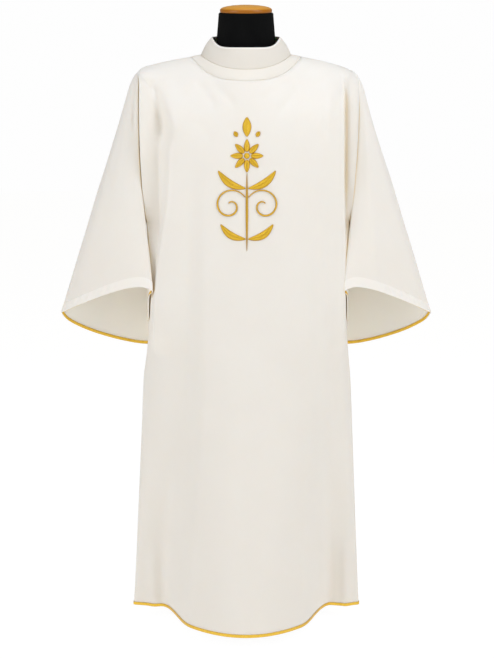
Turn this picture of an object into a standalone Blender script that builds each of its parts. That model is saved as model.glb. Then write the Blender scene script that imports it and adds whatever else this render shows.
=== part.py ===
"""Dalmatic on a limbless dress form: a wide-sleeved vestment with a stand collar, gold
braid at the hem and cuffs, and a gold embroidered flower spray on the chest. The cloth
hangs from the shoulders of the form, which stands on a pole and a round foot."""

import math

import bpy
import numpy as np

# ---------------------------------------------------------------- driving sizes, in metres
# X runs to the viewer's right, the front faces -Y, Z is up and the floor is at 0.
clothWall = 0.0015
collarWall = 0.0030
seamGap = 0.0003
shoulderTop = 1.268
armpitHeight = 0.950
armholeDepthLeft = 0.037
armholeDepthRight = 0.058
hemHeight = 0.030
braidHeight = 0.0045
braidWall = 0.0015
braidSeat = 0.0005
cuffBraidWall = 0.0012
sleeveLip = 0.0055

# Where each stretch of a panel starts, as a share of the way from neckline to hem.
alongTip = 0.10
alongArmpit = 0.32
shoulderRows = 4
armholeRows = 8
skirtRows = 12
panelColumns = 42
underRows = 6
ringColumns = panelColumns

# One row for each level of the body. Heights are given at the sides, at the centre front and
# at the centre back. left and right are the distances from the centre to the panel's edge.
bodyColumns = ("along", "sideZ", "frontZ", "backZ", "left", "right", "frontY", "backY", "squareness")
bodyLevels = (
    (0.00, 1.2970, 1.2510, 1.2900, 0.1250, 0.1225, 0.1080, 0.1000, 2.1),
    (0.05, 1.2870, 1.2020, 1.2450, 0.1800, 0.1745, 0.1220, 0.1140, 2.3),
    (0.10, 1.2680, 1.1500, 1.2000, 0.2335, 0.2290, 0.1310, 0.1240, 2.5),
    (0.14, 1.2400, 1.1030, 1.1500, 0.2325, 0.2350, 0.1360, 0.1310, 2.5),
    (0.21, 1.1090, 1.0220, 1.0600, 0.2270, 0.2350, 0.1410, 0.1350, 2.5),
    (0.32, 0.9500, 0.9000, 0.9200, 0.2225, 0.2310, 0.1460, 0.1370, 2.8),
    (0.36, 0.8950, 0.8490, 0.8650, 0.2175, 0.2265, 0.1480, 0.1385, 3.2),
    (0.42, 0.7950, 0.7720, 0.7800, 0.2155, 0.2240, 0.1515, 0.1405, 3.2),
    (0.48, 0.7000, 0.6950, 0.6970, 0.2160, 0.2245, 0.1550, 0.1430, 2.8),
    (0.52, 0.6440, 0.6440, 0.6440, 0.2245, 0.2315, 0.1580, 0.1450, 2.6),
    (0.57, 0.5800, 0.5800, 0.5800, 0.2330, 0.2375, 0.1610, 0.1480, 2.5),
    (0.66, 0.4650, 0.4650, 0.4650, 0.2388, 0.2435, 0.1680, 0.1550, 2.6),
    (0.80, 0.2860, 0.2860, 0.2860, 0.2490, 0.2520, 0.1810, 0.1680, 2.8),
    (0.92, 0.1320, 0.1320, 0.1320, 0.2574, 0.2596, 0.1920, 0.1800, 3.0),
    (1.00, hemHeight, hemHeight, hemHeight, 0.2640, 0.2650, 0.2000, 0.1880, 3.2),
)

# How each level folds. open is 1 where the panel ends at the armhole. leftTurn and rightTurn
# are where the front turns back beside the sleeves. The lobe is the big fold of the skirt:
# share is how strongly it shows, and the wing is the thin side fold that is left beside it.
foldColumns = (
    "along", "open", "leftTurn", "rightTurn", "share",
    "leftStart", "leftEnd", "rightStart", "rightEnd", "wing", "backShare", "backStart", "backEnd",
)
foldLevels = (
    (0.00, 0.0, 0.090, 0.090, 0.00, 0.060, 0.12, 0.060, 0.12, 0.050, 0.00, 0.060, 0.12),
    (0.10, 0.0, 0.170, 0.200, 0.00, 0.070, 0.16, 0.120, 0.20, 0.050, 0.00, 0.080, 0.17),
    (0.14, 1.0, 0.160, 0.200, 0.02, 0.075, 0.17, 0.130, 0.20, 0.050, 0.02, 0.085, 0.18),
    (0.21, 1.0, 0.165, 0.208, 0.06, 0.080, 0.17, 0.130, 0.21, 0.050, 0.06, 0.090, 0.19),
    (0.30, 1.0, 0.180, 0.210, 0.10, 0.080, 0.17, 0.130, 0.21, 0.050, 0.10, 0.095, 0.20),
    (0.36, 0.0, 0.195, 0.215, 0.13, 0.080, 0.17, 0.130, 0.21, 0.050, 0.12, 0.095, 0.20),
    (0.52, 0.0, 0.200, 0.215, 0.28, 0.080, 0.18, 0.130, 0.22, 0.048, 0.25, 0.100, 0.21),
    (0.66, 0.0, 0.200, 0.215, 0.50, 0.090, 0.20, 0.130, 0.22, 0.040, 0.42, 0.105, 0.21),
    (0.80, 0.0, 0.200, 0.215, 0.78, 0.105, 0.21, 0.125, 0.22, 0.026, 0.64, 0.110, 0.21),
    (0.92, 0.0, 0.200, 0.215, 0.95, 0.120, 0.215, 0.122, 0.21, 0.016, 0.84, 0.115, 0.21),
    (1.00, 0.0, 0.200, 0.215, 1.00, 0.128, 0.215, 0.120, 0.20, 0.012, 0.92, 0.120, 0.21),
)
chestFall = 0.16
lobeFall = 0.88

# Single long folds: each is a soft trough (depth below 0) or ridge that runs from one place
# and height to another on the front or the back.
troughColumns = ("front", "topX", "topZ", "lowX", "lowZ", "width", "depth")
troughs = (
    (1, -0.112, 1.13, -0.122, 0.25, 0.020, -0.0050),
    (1, 0.168, 1.10, 0.180, 0.25, 0.020, -0.0060),
    (0, 0.000, 1.15, 0.010, -0.30, 0.045, -0.0160),
    (0, -0.120, 1.15, -0.135, 0.20, 0.020, -0.0060),
    (0, 0.125, 1.15, 0.140, 0.20, 0.022, -0.0060),
)

# One row for each height of a sleeve, which hangs almost flat: the outer edge under the top
# line, and its front and back folds beside the body. x is the distance from the centre.
sleeveColumns = (
    "z", "outer", "leftFold", "rightFold", "foldY", "leftBack", "rightBack", "backY", "leftInner", "rightInner", "bulge",
)
sleeveLevels = (
    (1.2680, 0.2335, 0.2335, 0.2290, 0.000, 0.2335, 0.2290, 0.000, 0.2240, 0.2320, 2.0),
    (1.2600, 0.2425, 0.2332, 0.2360, 0.030, 0.2340, 0.2340, 0.030, 0.2240, 0.2320, 2.0),
    (1.2390, 0.2540, 0.2328, 0.2430, 0.060, 0.2340, 0.2400, 0.060, 0.2240, 0.2320, 2.0),
    (1.2000, 0.2665, 0.2325, 0.2450, 0.078, 0.2345, 0.2420, 0.076, 0.2240, 0.2320, 1.9),
    (1.1100, 0.2950, 0.2336, 0.2430, 0.090, 0.2345, 0.2420, 0.086, 0.2240, 0.2320, 1.75),
    (1.0330, 0.3200, 0.2249, 0.2380, 0.095, 0.2340, 0.2400, 0.090, 0.2240, 0.2320, 1.65),
    (0.9280, 0.3540, 0.2147, 0.2250, 0.100, 0.2310, 0.2375, 0.093, 0.2230, 0.2310, 1.55),
    (0.8680, 0.3736, 0.2085, 0.2190, 0.106, 0.2295, 0.2355, 0.095, 0.2210, 0.2285, 1.50),
    (0.8000, 0.3956, 0.2030, 0.2135, 0.112, 0.2280, 0.2340, 0.097, 0.2200, 0.2275, 1.45),
    (0.7290, 0.4183, 0.2030, 0.2135, 0.114, 0.2270, 0.2330, 0.099, 0.2200, 0.2275, 1.40),
    (0.6350, 0.4490, 0.2030, 0.2135, 0.114, 0.2265, 0.2330, 0.100, 0.2200, 0.2275, 1.40),
)

# The points round half a sleeve from its seam to its outer edge: how far each stands from the
# fold towards the outer edge, the height at which the cuff crosses it in front and behind, and
# how many columns follow it.
roundColumns = ("place", "face", "frontCuff", "backCuff", "columns")
sleeveRound = (
    ("seam", 0.00, 0.710, 0.710, 1),
    ("lip", 0.00, 0.718, 0.702, 2),
    ("inside", 0.00, 0.752, 0.672, 1),
    ("beforeFold", 0.00, 0.786, 0.642, 1),
    ("fold", 0.00, 0.7965, 0.6365, 1),
    ("face", 0.06, 0.8065, 0.6360, 1),
    ("face", 0.19, 0.808, 0.641, 2),
    ("face", 0.42, 0.794, 0.656, 2),
    ("face", 0.68, 0.769, 0.679, 2),
    ("face", 0.90, 0.744, 0.706, 1),
    ("outer", 1.00, 0.729, 0.729, 0),
)

# Rings round the neck: half width, front and back depths, and heights at side, front and back.
ringNames = ("ring", "side", "frontY", "backY", "sideZ", "frontZ", "backZ")
neckRings = (
    ("collarTop", 0.0748, 0.0760, 0.0780, 1.3405, 1.3186, 1.3415),
    ("collarMiddle", 0.0880, 0.0872, 0.0835, 1.3225, 1.2970, 1.3260),
    ("collarFoot", 0.0985, 0.0955, 0.0880, 1.3020, 1.2736, 1.3065),
)
ringRise = 2.5

# The dress form under the cloth, from the neck down: half width, depths and heights.
formColumns = ("side", "frontY", "backY", "sideZ", "frontZ", "backZ")
formNeck = (
    (0.0586, 0.0570, 0.0570, 1.3872, 1.3872, 1.3872),
    (0.0615, 0.0590, 0.0590, 1.3450, 1.3450, 1.3450),
    (0.0650, 0.0620, 0.0640, 1.3180, 1.3000, 1.3220),
    (0.0750, 0.0680, 0.0700, 1.3060, 1.2800, 1.3080),
    (0.0985, 0.0800, 0.0760, 1.2990, 1.2600, 1.2850),
)
formShoulder = (
    (0.0920, 0.0840, 1.2350, 1.2650),
    (0.0970, 0.0900, 1.2150, 1.2450),
    (0.1010, 0.0950, 1.1950, 1.2250),
    (0.1040, 0.0990, 1.1750, 1.2050),
)
formBody = (
    (0.2110, 0.1060, 0.1020, 1.2580, 1.1500, 1.1750),
    (0.2080, 0.1080, 0.1050, 1.2250, 1.1150, 1.1300),
    (0.1850, 0.1110, 0.1070, 1.1500, 1.0700, 1.0750),
    (0.1700, 0.1130, 0.1060, 1.0600, 1.0100, 1.0100),
    (0.1580, 0.1040, 0.0980, 0.9700, 0.9500, 0.9500),
    (0.1460, 0.0950, 0.0880, 0.8800, 0.8700, 0.8700),
    (0.1530, 0.0980, 0.0980, 0.7900, 0.7900, 0.7900),
    (0.1680, 0.1060, 0.1090, 0.7000, 0.7000, 0.7000),
    (0.1650, 0.1040, 0.1070, 0.6350, 0.6350, 0.6350),
    (0.1480, 0.0900, 0.0940, 0.6160, 0.6160, 0.6160),
)
formRingColumns = 36

# Turned pieces as (radius, height) steps from the top down.
capProfile = ((0.0400, 1.4082), (0.0535, 1.4060), (0.0567, 1.4020), (0.0567, 1.3905), (0.0550, 1.3875))
footRadius = 0.128
footWall = 0.012
bossRadius = 0.024
bossTop = 0.034
poleRadius = 0.0125
turnedSides = 40

# The flower spray on the chest. Places are measured from its centre on the front panel. Each
# leaf runs from its base to its tip, and bow is how far its middle line swings to one side.
sprayX = 0.002
sprayZ = 1.033
stitchHeight = 0.0011
leafColumns = ("name", "pair", "baseX", "baseZ", "tipX", "tipZ", "bow", "width", "steps")
sprayLeaves = (
    ("bud", 0, 0.0000, 0.1015, 0.0000, 0.1415, 0.000, 0.0190, 8),
    ("stem", 0, 0.0000, 0.0240, 0.0000, -0.1415, 0.000, 0.0052, 8),
    ("leaf_high", 1, 0.0032, -0.0080, 0.0610, 0.0290, 0.009, 0.0165, 8),
    ("leaf_low", 1, 0.0030, -0.1160, 0.0560, -0.0850, 0.009, 0.0155, 8),
    ("berry", 1, 0.0200, 0.1010, 0.0270, 0.1120, 0.000, 0.0100, 4),
)
flowerZ = 0.0610
flowerRings = (0.0070, 0.0200, 0.0345)
flowerHeights = (0.5, 1.0, 0.5)
flowerPetals = 8
petalColumns = 4
petalNotch = (0.0, 0.10, 0.30)
tendrilMiddle = (0.0360, -0.0450)
tendrilRadii = (0.0370, 0.0060)
tendrilTurns = (150, -300)
tendrilWidth = 0.0042
tendrilSteps = 16


# ---------------------------------------------------------------- reading the tables
def columnOf(names, rows, name):
    return np.array([row[names.index(name)] for row in rows], float)


def smoothAlong(places, values, at):
    """A monotone cubic through the table's values, so that no fold overshoots its levels."""
    if places[0] > places[-1]:
        places, values = places[::-1], values[::-1]
    steps = np.diff(places)
    slopes = np.diff(values) / steps
    both = slopes[:-1] + slopes[1:]
    inner = np.where(slopes[:-1] * slopes[1:] > 0, 2 * slopes[:-1] * slopes[1:] / np.where(both == 0, 1, both), 0)
    tangents = np.concatenate([slopes[:1], inner, slopes[-1:]])
    at = np.clip(np.asarray(at, float), places[0], places[-1])
    low = np.clip(np.searchsorted(places, at, side="right") - 1, 0, len(steps) - 1)
    step = steps[low]
    t = (at - places[low]) / step
    return (
        values[low] * (1 + 2 * t) * (1 - t) ** 2
        + values[low + 1] * t * t * (3 - 2 * t)
        + step * (tangents[low] * t * (1 - t) ** 2 + tangents[low + 1] * t * t * (t - 1))
    )


def level(names, rows, name, at):
    return smoothAlong(columnOf(names, rows, names[0]), columnOf(names, rows, name), at)


def ease(start, end, x):
    t = np.clip((x - start) / (end - start), 0.0, 1.0)
    return t * t * (3 - 2 * t)


# ---------------------------------------------------------------- solids
def makeMaterial(name, colour, roughness, metallic=0.0):
    material = bpy.data.materials.new(name)
    material.use_nodes = True
    shader = material.node_tree.nodes["Principled BSDF"]
    shader.inputs["Base Color"].default_value = (*colour, 1.0)
    shader.inputs["Roughness"].default_value = roughness
    shader.inputs["Metallic"].default_value = metallic
    return material


def solidFrom(name, points, faces, material):
    mesh = bpy.data.meshes.new(name)
    mesh.from_pydata([tuple(point) for point in points], [], faces)
    mesh.polygons.foreach_set("use_smooth", [True] * len(mesh.polygons))
    mesh.materials.append(material)
    solid = bpy.data.objects.new(name, mesh)
    bpy.context.scene.collection.objects.link(solid)
    return solid


def wallBetween(name, outer, inner, faces, material):
    """A closed wall from its outer and inner points, which share their faces."""
    count = len(outer)
    used = sorted({corner for face in faces for corner in face})
    place = {corner: i for i, corner in enumerate(used)}
    count = len(used)
    points = np.concatenate([outer[used], inner[used]])
    faces = [tuple(place[corner] for corner in face) for face in faces]
    solidFaces = list(faces) + [tuple(count + corner for corner in reversed(face)) for face in faces]
    edges = {(a, b) for face in faces for a, b in zip(face, face[1:] + face[:1])}
    for a, b in sorted(edges):
        if (b, a) not in edges:
            solidFaces.append((b, a, count + a, count + b))
    return solidFrom(name, points, solidFaces, material)


def gridFaces(rows, columns, closed=False, flip=False, pointOf=None):
    """Faces of a grid of points, seen from outside with rows running down and columns right."""
    faces = []
    for r in range(rows - 1):
        for c in range(columns if closed else columns - 1):
            after = (c + 1) % columns
            corners = [(r, c), (r + 1, c), (r + 1, after), (r, after)]
            face = [pointOf(*corner) if pointOf else corner[0] * columns + corner[1] for corner in corners]
            face = [corner for i, corner in enumerate(face) if corner != face[i - 1]]
            if len(face) > 2:
                faces.append(tuple(reversed(face)) if flip else tuple(face))
    return faces


def unit(vectors):
    return vectors / np.maximum(np.linalg.norm(vectors, axis=-1, keepdims=True), 1e-12)


def gridNormals(grid, closed=False):
    """Outward normals of a grid of points, by differences along its rows and columns."""
    if closed:
        grid = np.concatenate([grid[:, -2:], grid, grid[:, :2]], axis=1)
    normals = unit(np.cross(np.gradient(grid, axis=0), np.gradient(grid, axis=1)))
    return normals[:, 2:-2] if closed else normals


def lathe(name, profile, material):
    """A solid turned about the Z axis from (radius, height) steps, listed from the top down."""
    turns = np.radians(np.arange(turnedSides) * 360 / turnedSides)
    points = [(r * math.cos(a), r * math.sin(a), z) for r, z in profile for a in turns]
    faces = []
    for step in range(len(profile) - 1):
        for side in range(turnedSides):
            after = (side + 1) % turnedSides
            top, low = step * turnedSides, (step + 1) * turnedSides
            faces.append((top + side, low + side, low + after, top + after))
    last = (len(profile) - 1) * turnedSides
    faces.append(tuple(range(turnedSides)))
    faces.append(tuple(reversed(range(last, last + turnedSides))))
    return solidFrom(name, np.array(points), faces, material)


# ---------------------------------------------------------------- front and back
def armholeAt(along, isLeft):
    """Distance of the armhole's edge from the centre plane of the arm, and its height."""
    turn = math.pi * np.clip((along - alongTip) / (alongArmpit - alongTip), 0, 1)
    middle = (shoulderTop + armpitHeight) / 2
    depth = np.where(isLeft, armholeDepthLeft, armholeDepthRight)
    return depth * np.sin(turn), middle + (shoulderTop - armpitHeight) / 2 * np.cos(turn)


def bodyPoint(along, turn, front):
    """A point of the body's outer face. turn runs from -90 degrees at the left edge to 90."""
    def body(name):
        return level(bodyColumns, bodyLevels, name, along)

    def fold(name):
        return level(foldColumns, foldLevels, name, along)

    across = np.sin(turn)
    far = np.abs(across)
    isLeft = across < 0
    width = np.where(isLeft, body("left"), body("right"))
    x = width * across
    squareness = body("squareness")
    rounded = np.maximum(1 - far ** squareness, 0) ** (1 / squareness)
    depth = body("frontY" if front else "backY")
    armholeY, armholeZ = armholeAt(along, isLeft)
    inArmhole = (along > alongTip) & (along < alongArmpit)
    edgeY = np.where(inArmhole, armholeY, 0.0)
    # The broad shape: round at the sides, or turned back beside the sleeve at the armhole.
    if front:
        turnX = np.where(isLeft, fold("leftTurn"), fold("rightTurn"))
        start = np.where(isLeft, fold("leftStart"), fold("rightStart"))
        end = np.where(isLeft, fold("leftEnd"), fold("rightEnd"))
        share = fold("share")
    else:
        turnX = width * 0.80
        start, end, share = fold("backStart"), fold("backEnd"), fold("backShare")
    turned = 1 - ease(turnX, width, np.abs(x))
    opening = fold("open")
    broad = (1 - chestFall * far ** 2) * ((1 - opening) * rounded + opening * turned)
    # The skirt's lobe, and the wings beside it.
    lobe = np.maximum(1 - lobeFall * (x / end) ** 2, 0) * (1 - ease(start, end, np.abs(x)))
    wing = fold("wing") / depth
    lobed = (1 - wing) * lobe + wing * rounded
    out = edgeY + (depth - edgeY) * ((1 - share) * broad + share * lobed)
    sideZ = np.where(inArmhole, armholeZ, body("sideZ"))
    middleZ = body("frontZ" if front else "backZ")
    z = middleZ + (sideZ - middleZ) * far ** 2.4
    for row in troughs:
        trough = dict(zip(troughColumns, row))
        if trough["front"] != front:
            continue
        reach = (trough["topZ"] - z) / (trough["topZ"] - trough["lowZ"])
        centre = trough["topX"] + (trough["lowX"] - trough["topX"]) * reach
        strength = ease(0.0, 0.25, reach) * (1 - ease(0.7, 1.0, reach))
        out = out + trough["depth"] * strength * np.exp(-(((x - centre) / trough["width"]) ** 2))
    return np.stack([x, -out if front else out, z], axis=-1)


def panelRows():
    shoulder = np.linspace(0, alongTip, shoulderRows + 1)
    armhole = np.linspace(alongTip, alongArmpit, armholeRows + 1)[1:]
    skirt = np.linspace(alongArmpit, 1, skirtRows + 1)[1:]
    return np.concatenate([shoulder, armhole, skirt])


def armholeNormal(along, isLeft, sign):
    """Outwards from the middle of the armhole, so that body and sleeve meet edge to edge."""
    edgeY, edgeZ = armholeAt(along, isLeft)
    return unit(np.array([0.0, sign * edgeY, edgeZ - (shoulderTop + armpitHeight) / 2]))


def bodySurface(rows, columns):
    """Front and back grids with their normals, drawn in from the seams by half the gap."""
    turns = np.radians(np.linspace(-90, 90, columns + 1))
    along, turn = np.meshgrid(rows, turns, indexing="ij")
    front = bodyPoint(along, turn, True)
    back = bodyPoint(along, turn, False)
    ringNormals = gridNormals(np.concatenate([front, back[:, ::-1][:, 1:-1]], axis=1), closed=True)
    frontNormals = ringNormals[:, : columns + 1].copy()
    backNormals = np.concatenate([ringNormals[:, columns:], ringNormals[:, :1]], axis=1)[:, ::-1].copy()
    for panel, normals, sign in ((front, frontNormals, -1), (back, backNormals, 1)):
        for edge, side in ((0, -1), (-1, 1)):
            panel[:, edge, 1] += sign * seamGap / 2
            for r, place in enumerate(rows):
                if alongTip - 1e-9 <= place <= alongArmpit + 1e-9:
                    normals[r, edge] = armholeNormal(place, side < 0, sign)
                    panel[r, edge, 0] -= side * seamGap / 2
                else:
                    normals[r, edge, 1] = 0.0
        normals[:] = unit(normals)
    return front, frontNormals, back, backNormals


def makePanels(material):
    front, frontNormals, back, backNormals = bodySurface(panelRows(), panelColumns)
    for name, panel, normals, flip in (("front", front, frontNormals, False), ("back", back, backNormals, True)):
        outer = panel.reshape(-1, 3)
        inner = outer - normals.reshape(-1, 3) * clothWall
        wallBetween(name, outer, inner, gridFaces(*panel.shape[:2], flip=flip), material)


def ringMitres(ring):
    """Level outward steps from the points of a closed ring that keep one distance from its sides."""
    along = unit(np.roll(ring, -1, axis=0)[:, :2] - ring[:, :2])
    out = np.stack([along[:, 1], -along[:, 0]], axis=1)
    before = np.roll(out, 1, axis=0)
    mitre = (out + before) / (1 + np.maximum((out * before).sum(axis=1, keepdims=True), -0.2))
    return np.concatenate([mitre, np.zeros((len(ring), 1))], axis=1)


def makeHemBraid(material):
    """One length of braid sewn round the outside of the hem, with its ends at a side seam."""
    front, _, back, _ = bodySurface(panelRows(), panelColumns)
    ring = np.concatenate([front[-2:], back[-2:, ::-1]], axis=1)
    share = braidHeight / (ring[0, :, 2:] - ring[1, :, 2:])
    ring[0] = ring[1] + (ring[0] - ring[1]) * share
    out = np.array([ringMitres(row) for row in ring])
    inner = (ring + out * braidSeat).reshape(-1, 3)
    outer = (ring + out * (braidSeat + braidWall)).reshape(-1, 3)
    wallBetween("hem_braid", outer, inner, gridFaces(2, ring.shape[1], closed=True), material)


# ---------------------------------------------------------------- sleeves
def curveThrough(controls, counts):
    """Points on a smooth curve through the controls, with a count of steps after each one."""
    points = []
    last = len(controls) - 1
    for i in range(last):
        before = controls[max(i - 1, 0)]
        here, after = controls[i], controls[i + 1]
        beyond = controls[min(i + 2, last)]
        for step in range(counts[i]):
            t = step / counts[i]
            points.append(
                0.5 * (
                    2 * here + (after - before) * t
                    + (2 * before - 5 * here + 4 * after - beyond) * t * t
                    + (3 * here - before - 3 * after + beyond) * t ** 3
                )
            )
    points.append(controls[-1])
    return np.array(points)


def sleeveRows():
    """Seam heights and shares of the way down, from the shoulder's tip to the cuff."""
    armhole = np.linspace(alongTip, alongArmpit, armholeRows + 1)
    under = np.linspace(0, 1, underRows + 1)[1:]
    return [(place, 0.0) for place in armhole] + [(alongArmpit, share) for share in under]


def sleeveHalf(along, under, side, back, density=1):
    """Points from the seam to the outer edge at one row of a sleeve, front or back half."""
    edgeY, edgeZ = armholeAt(along, side < 0)
    hand, half = "left" if side < 0 else "right", "Back" if back else "Fold"
    cuff = "backCuff" if back else "frontCuff"
    seamCuff = sleeveRound[0][roundColumns.index(cuff)]
    seamZ = float(edgeZ) + (seamCuff - float(edgeZ)) * under
    down = (shoulderTop - seamZ) / (shoulderTop - seamCuff)
    armX = float(level(bodyColumns, bodyLevels, hand, along)) + seamGap / 2
    innerX = float(level(sleeveColumns, sleeveLevels, hand + "Inner", seamZ))
    seamX = armX + (innerX - armX) * float(ease(0, 0.3, under))
    seamY = float(edgeY) if under == 0 else 0.0
    controls = []
    for row in sleeveRound:
        spot = dict(zip(roundColumns, row))
        z = shoulderTop - down * (shoulderTop - spot[cuff])
        outer, foldX, foldY, bulge = (
            float(level(sleeveColumns, sleeveLevels, name, z))
            for name in ("outer", hand + half, "backY" if back else "foldY", "bulge")
        )
        size = min(foldY / 0.08, 1.0)
        bow = 0.004 * size * (1 - under)
        lipX = seamX + sleeveLip * size * (1 - under)
        lipY = seamY + 0.004 * size * (1 + 3 * under)
        run = foldX - lipX
        lipX += 0.12 * run * under
        tuck = 0 if back else 0.3 * under
        if spot["place"] == "seam":
            x, y, z = seamX, seamY, seamZ
        elif spot["place"] == "lip":
            x, y = lipX, lipY
        elif spot["place"] == "inside":
            x, y = lipX + (0.5 - tuck) * run + bow, 0.5 * (lipY + foldY - 0.014 * size)
        elif spot["place"] == "beforeFold":
            x, y = foldX - (0.15 + tuck) * run + bow, foldY - 0.014 * size
        elif spot["place"] == "fold":
            x, y = foldX + 0.3 * bow, foldY - 0.004 * size
        else:
            share = spot["face"]
            x = foldX + (outer - foldX) * share
            y = foldY * max(1 - share ** bulge, 0) ** (1 / bulge)
        controls.append(np.array([side * x, y if back else -y, z]))
    return curveThrough(controls, [row[-1] * density for row in sleeveRound[:-1]])


def sleeveSurface(side, density=1):
    """A sleeve's grid of outer points, from the front seam round the outer edge to the back."""
    rows = []
    for along, under in sleeveRows():
        front = sleeveHalf(along, under, side, False, density)
        back = sleeveHalf(along, under, side, True, density)
        rows.append(np.concatenate([front, back[::-1][1:]]))
    grid = np.array(rows)
    grid[0] = grid[0, 0]
    normals = gridNormals(grid)
    for r, (along, under) in enumerate(sleeveRows()):
        if under == 0:
            normals[r, 0] = armholeNormal(along, side < 0, -1)
            normals[r, -1] = armholeNormal(along, side < 0, 1)
        else:
            joined = unit(normals[r, 0] + normals[r, -1])
            normals[r, 0] = normals[r, -1] = joined
    normals[0] = (0, 0, side)
    return grid, normals * side if side < 0 else normals


def makeSleeve(name, side, material):
    grid, normals = sleeveSurface(side)
    rows, columns = grid.shape[:2]

    def pointOf(r, c):
        if r == 0:
            return 0
        if c == columns - 1 and r >= armholeRows:
            return r * columns
        return r * columns + c

    outer = grid.reshape(-1, 3)
    inner = outer - normals.reshape(-1, 3) * clothWall
    faces = gridFaces(rows, columns, flip=side < 0, pointOf=pointOf)
    return wallBetween(name, outer, inner, faces, material)


def makeCuffBraid(name, side, material):
    """A narrow braid round the inside of the cuff's edge."""
    grid, normals = sleeveSurface(side)
    inside = grid[-1] - normals[-1] * (clothWall + seamGap)
    up = unit(grid[-2] - grid[-1]) * braidHeight
    outer = np.array([inside + up, inside])[:, :-1]
    inner = outer - normals[-1][None, :-1] * cuffBraidWall
    faces = gridFaces(2, outer.shape[1], closed=True, flip=side < 0)
    wallBetween(name, outer.reshape(-1, 3), inner.reshape(-1, 3), faces, material)


# ---------------------------------------------------------------- neck
def ringAt(sizes, turns):
    """An oval ring round the neck that rises from the front to the sides and the back."""
    side, frontY, backY, sideZ, frontZ, backZ = sizes
    sideShare = np.abs(np.sin(turns)) ** ringRise
    isFront = np.cos(turns) > 0
    y = -np.cos(turns) * np.where(isFront, frontY, backY)
    z = np.where(isFront, frontZ + (sideZ - frontZ) * sideShare, backZ + (sideZ - backZ) * sideShare)
    return np.stack([side * np.sin(turns), y, z], axis=-1)


def makeNeck(material):
    """The stand collar, and the flat band that joins it to the panels."""
    front, frontNormals, back, backNormals = bodySurface(panelRows(), panelColumns)
    edge = np.concatenate([front[0], back[0, ::-1][1:-1]])[::2]
    edgeNormals = np.concatenate([frontNormals[0], backNormals[0, ::-1][1:-1]])[::2]
    turns = np.radians(-90 + np.arange(ringColumns) * 360 / ringColumns)
    rings = np.array([ringAt(row[1:], turns) for row in neckRings])
    normals = gridNormals(rings, closed=True)
    inner = rings - normals * collarWall
    faces = gridFaces(len(rings), ringColumns, closed=True)
    wallBetween("collar", rings.reshape(-1, 3), inner.reshape(-1, 3), faces, material)
    foot = rings[-1]
    way = unit(edge - foot)
    band = np.array([foot + way * seamGap, (foot + edge) / 2, edge - way * seamGap])
    bandNormals = gridNormals(band, closed=True)
    bandNormals[-1] = edgeNormals
    bandInner = band - bandNormals * clothWall
    bandFaces = gridFaces(3, ringColumns, closed=True)
    wallBetween("neck_band", band.reshape(-1, 3), bandInner.reshape(-1, 3), bandFaces, material)


# ---------------------------------------------------------------- dress form
def formRing(left, right, frontY, backY, sideZ, frontZ, backZ, turns):
    across = np.sin(turns)
    isFront = np.cos(turns) > 0
    x = np.where(across < 0, left, right) * across
    y = -np.cos(turns) * np.where(isFront, frontY, backY)
    middleZ = np.where(isFront, frontZ, backZ)
    return np.stack([x, y, middleZ + (sideZ - middleZ) * np.abs(across) ** 2.4], axis=-1)


def makeForm(material):
    """Neck, shoulders and trunk in one smooth body. Its shoulder line lies under the cloth's."""
    turns = np.radians(-90 + np.arange(formRingColumns) * 360 / formRingColumns)
    rings = [formRing(row[0], row[0], *row[1:], turns) for row in formNeck]
    places = np.linspace(0, alongTip, shoulderRows + 1)[:-1]
    sheets = bodySurface(panelRows(), panelColumns)
    for r, (place, row) in enumerate(zip(places, formShoulder)):
        seats = sheets[0][r] - sheets[1][r] * (clothWall + seamGap)
        ring = formRing(-seats[0][0], seats[-1][0], row[0], row[1], 0.0, row[2], row[3], turns)
        middleZ = np.where(np.cos(turns) > 0, row[2], row[3])
        sideZ = np.where(np.sin(turns) < 0, seats[0][2], seats[-1][2])
        ring[:, 2] = middleZ + (sideZ - middleZ) * np.abs(np.sin(turns)) ** 2.4
        rings.append(ring)
    rings += [formRing(row[0], row[0] - 0.003, *row[1:], turns) for row in formBody]
    points = np.array(rings).reshape(-1, 3)
    faces = gridFaces(len(rings), formRingColumns, closed=True)
    faces.append(tuple(range(formRingColumns)))
    last = (len(rings) - 1) * formRingColumns
    faces.append(tuple(reversed(range(last, last + formRingColumns))))
    solidFrom("form_torso", points, faces, material)


def makeStand(steel, wood):
    trunkFoot = formBody[-1][3]
    lathe("neck_cap", capProfile, wood)
    lathe("pole", ((poleRadius, trunkFoot - seamGap), (poleRadius, bossTop + seamGap)), steel)
    foot = (
        (bossRadius - 0.004, bossTop),
        (bossRadius, bossTop - 0.004),
        (bossRadius, footWall),
        (footRadius - 0.003, footWall),
        (footRadius, footWall - 0.003),
        (footRadius, 0.0),
    )
    lathe("foot", foot, steel)


# ---------------------------------------------------------------- embroidered spray
def onFront(x, z):
    """Points of the front panel's face at these places across and up, with their normals."""
    along = np.full_like(x, 0.2)
    turn = np.zeros_like(x)
    for _ in range(12):
        width = np.where(x < 0, level(bodyColumns, bodyLevels, "left", along), level(bodyColumns, bodyLevels, "right", along))
        turn = np.arcsin(np.clip(x / width, -1, 1))
        along = np.clip(along + (bodyPoint(along, turn, True)[..., 2] - z) / 1.25, 0, 1)
    step = 0.002
    point = bodyPoint(along, turn, True)
    right = bodyPoint(along, turn + step, True) - point
    down = bodyPoint(along + step, turn, True) - point
    return point, unit(np.cross(down, right))


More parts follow.
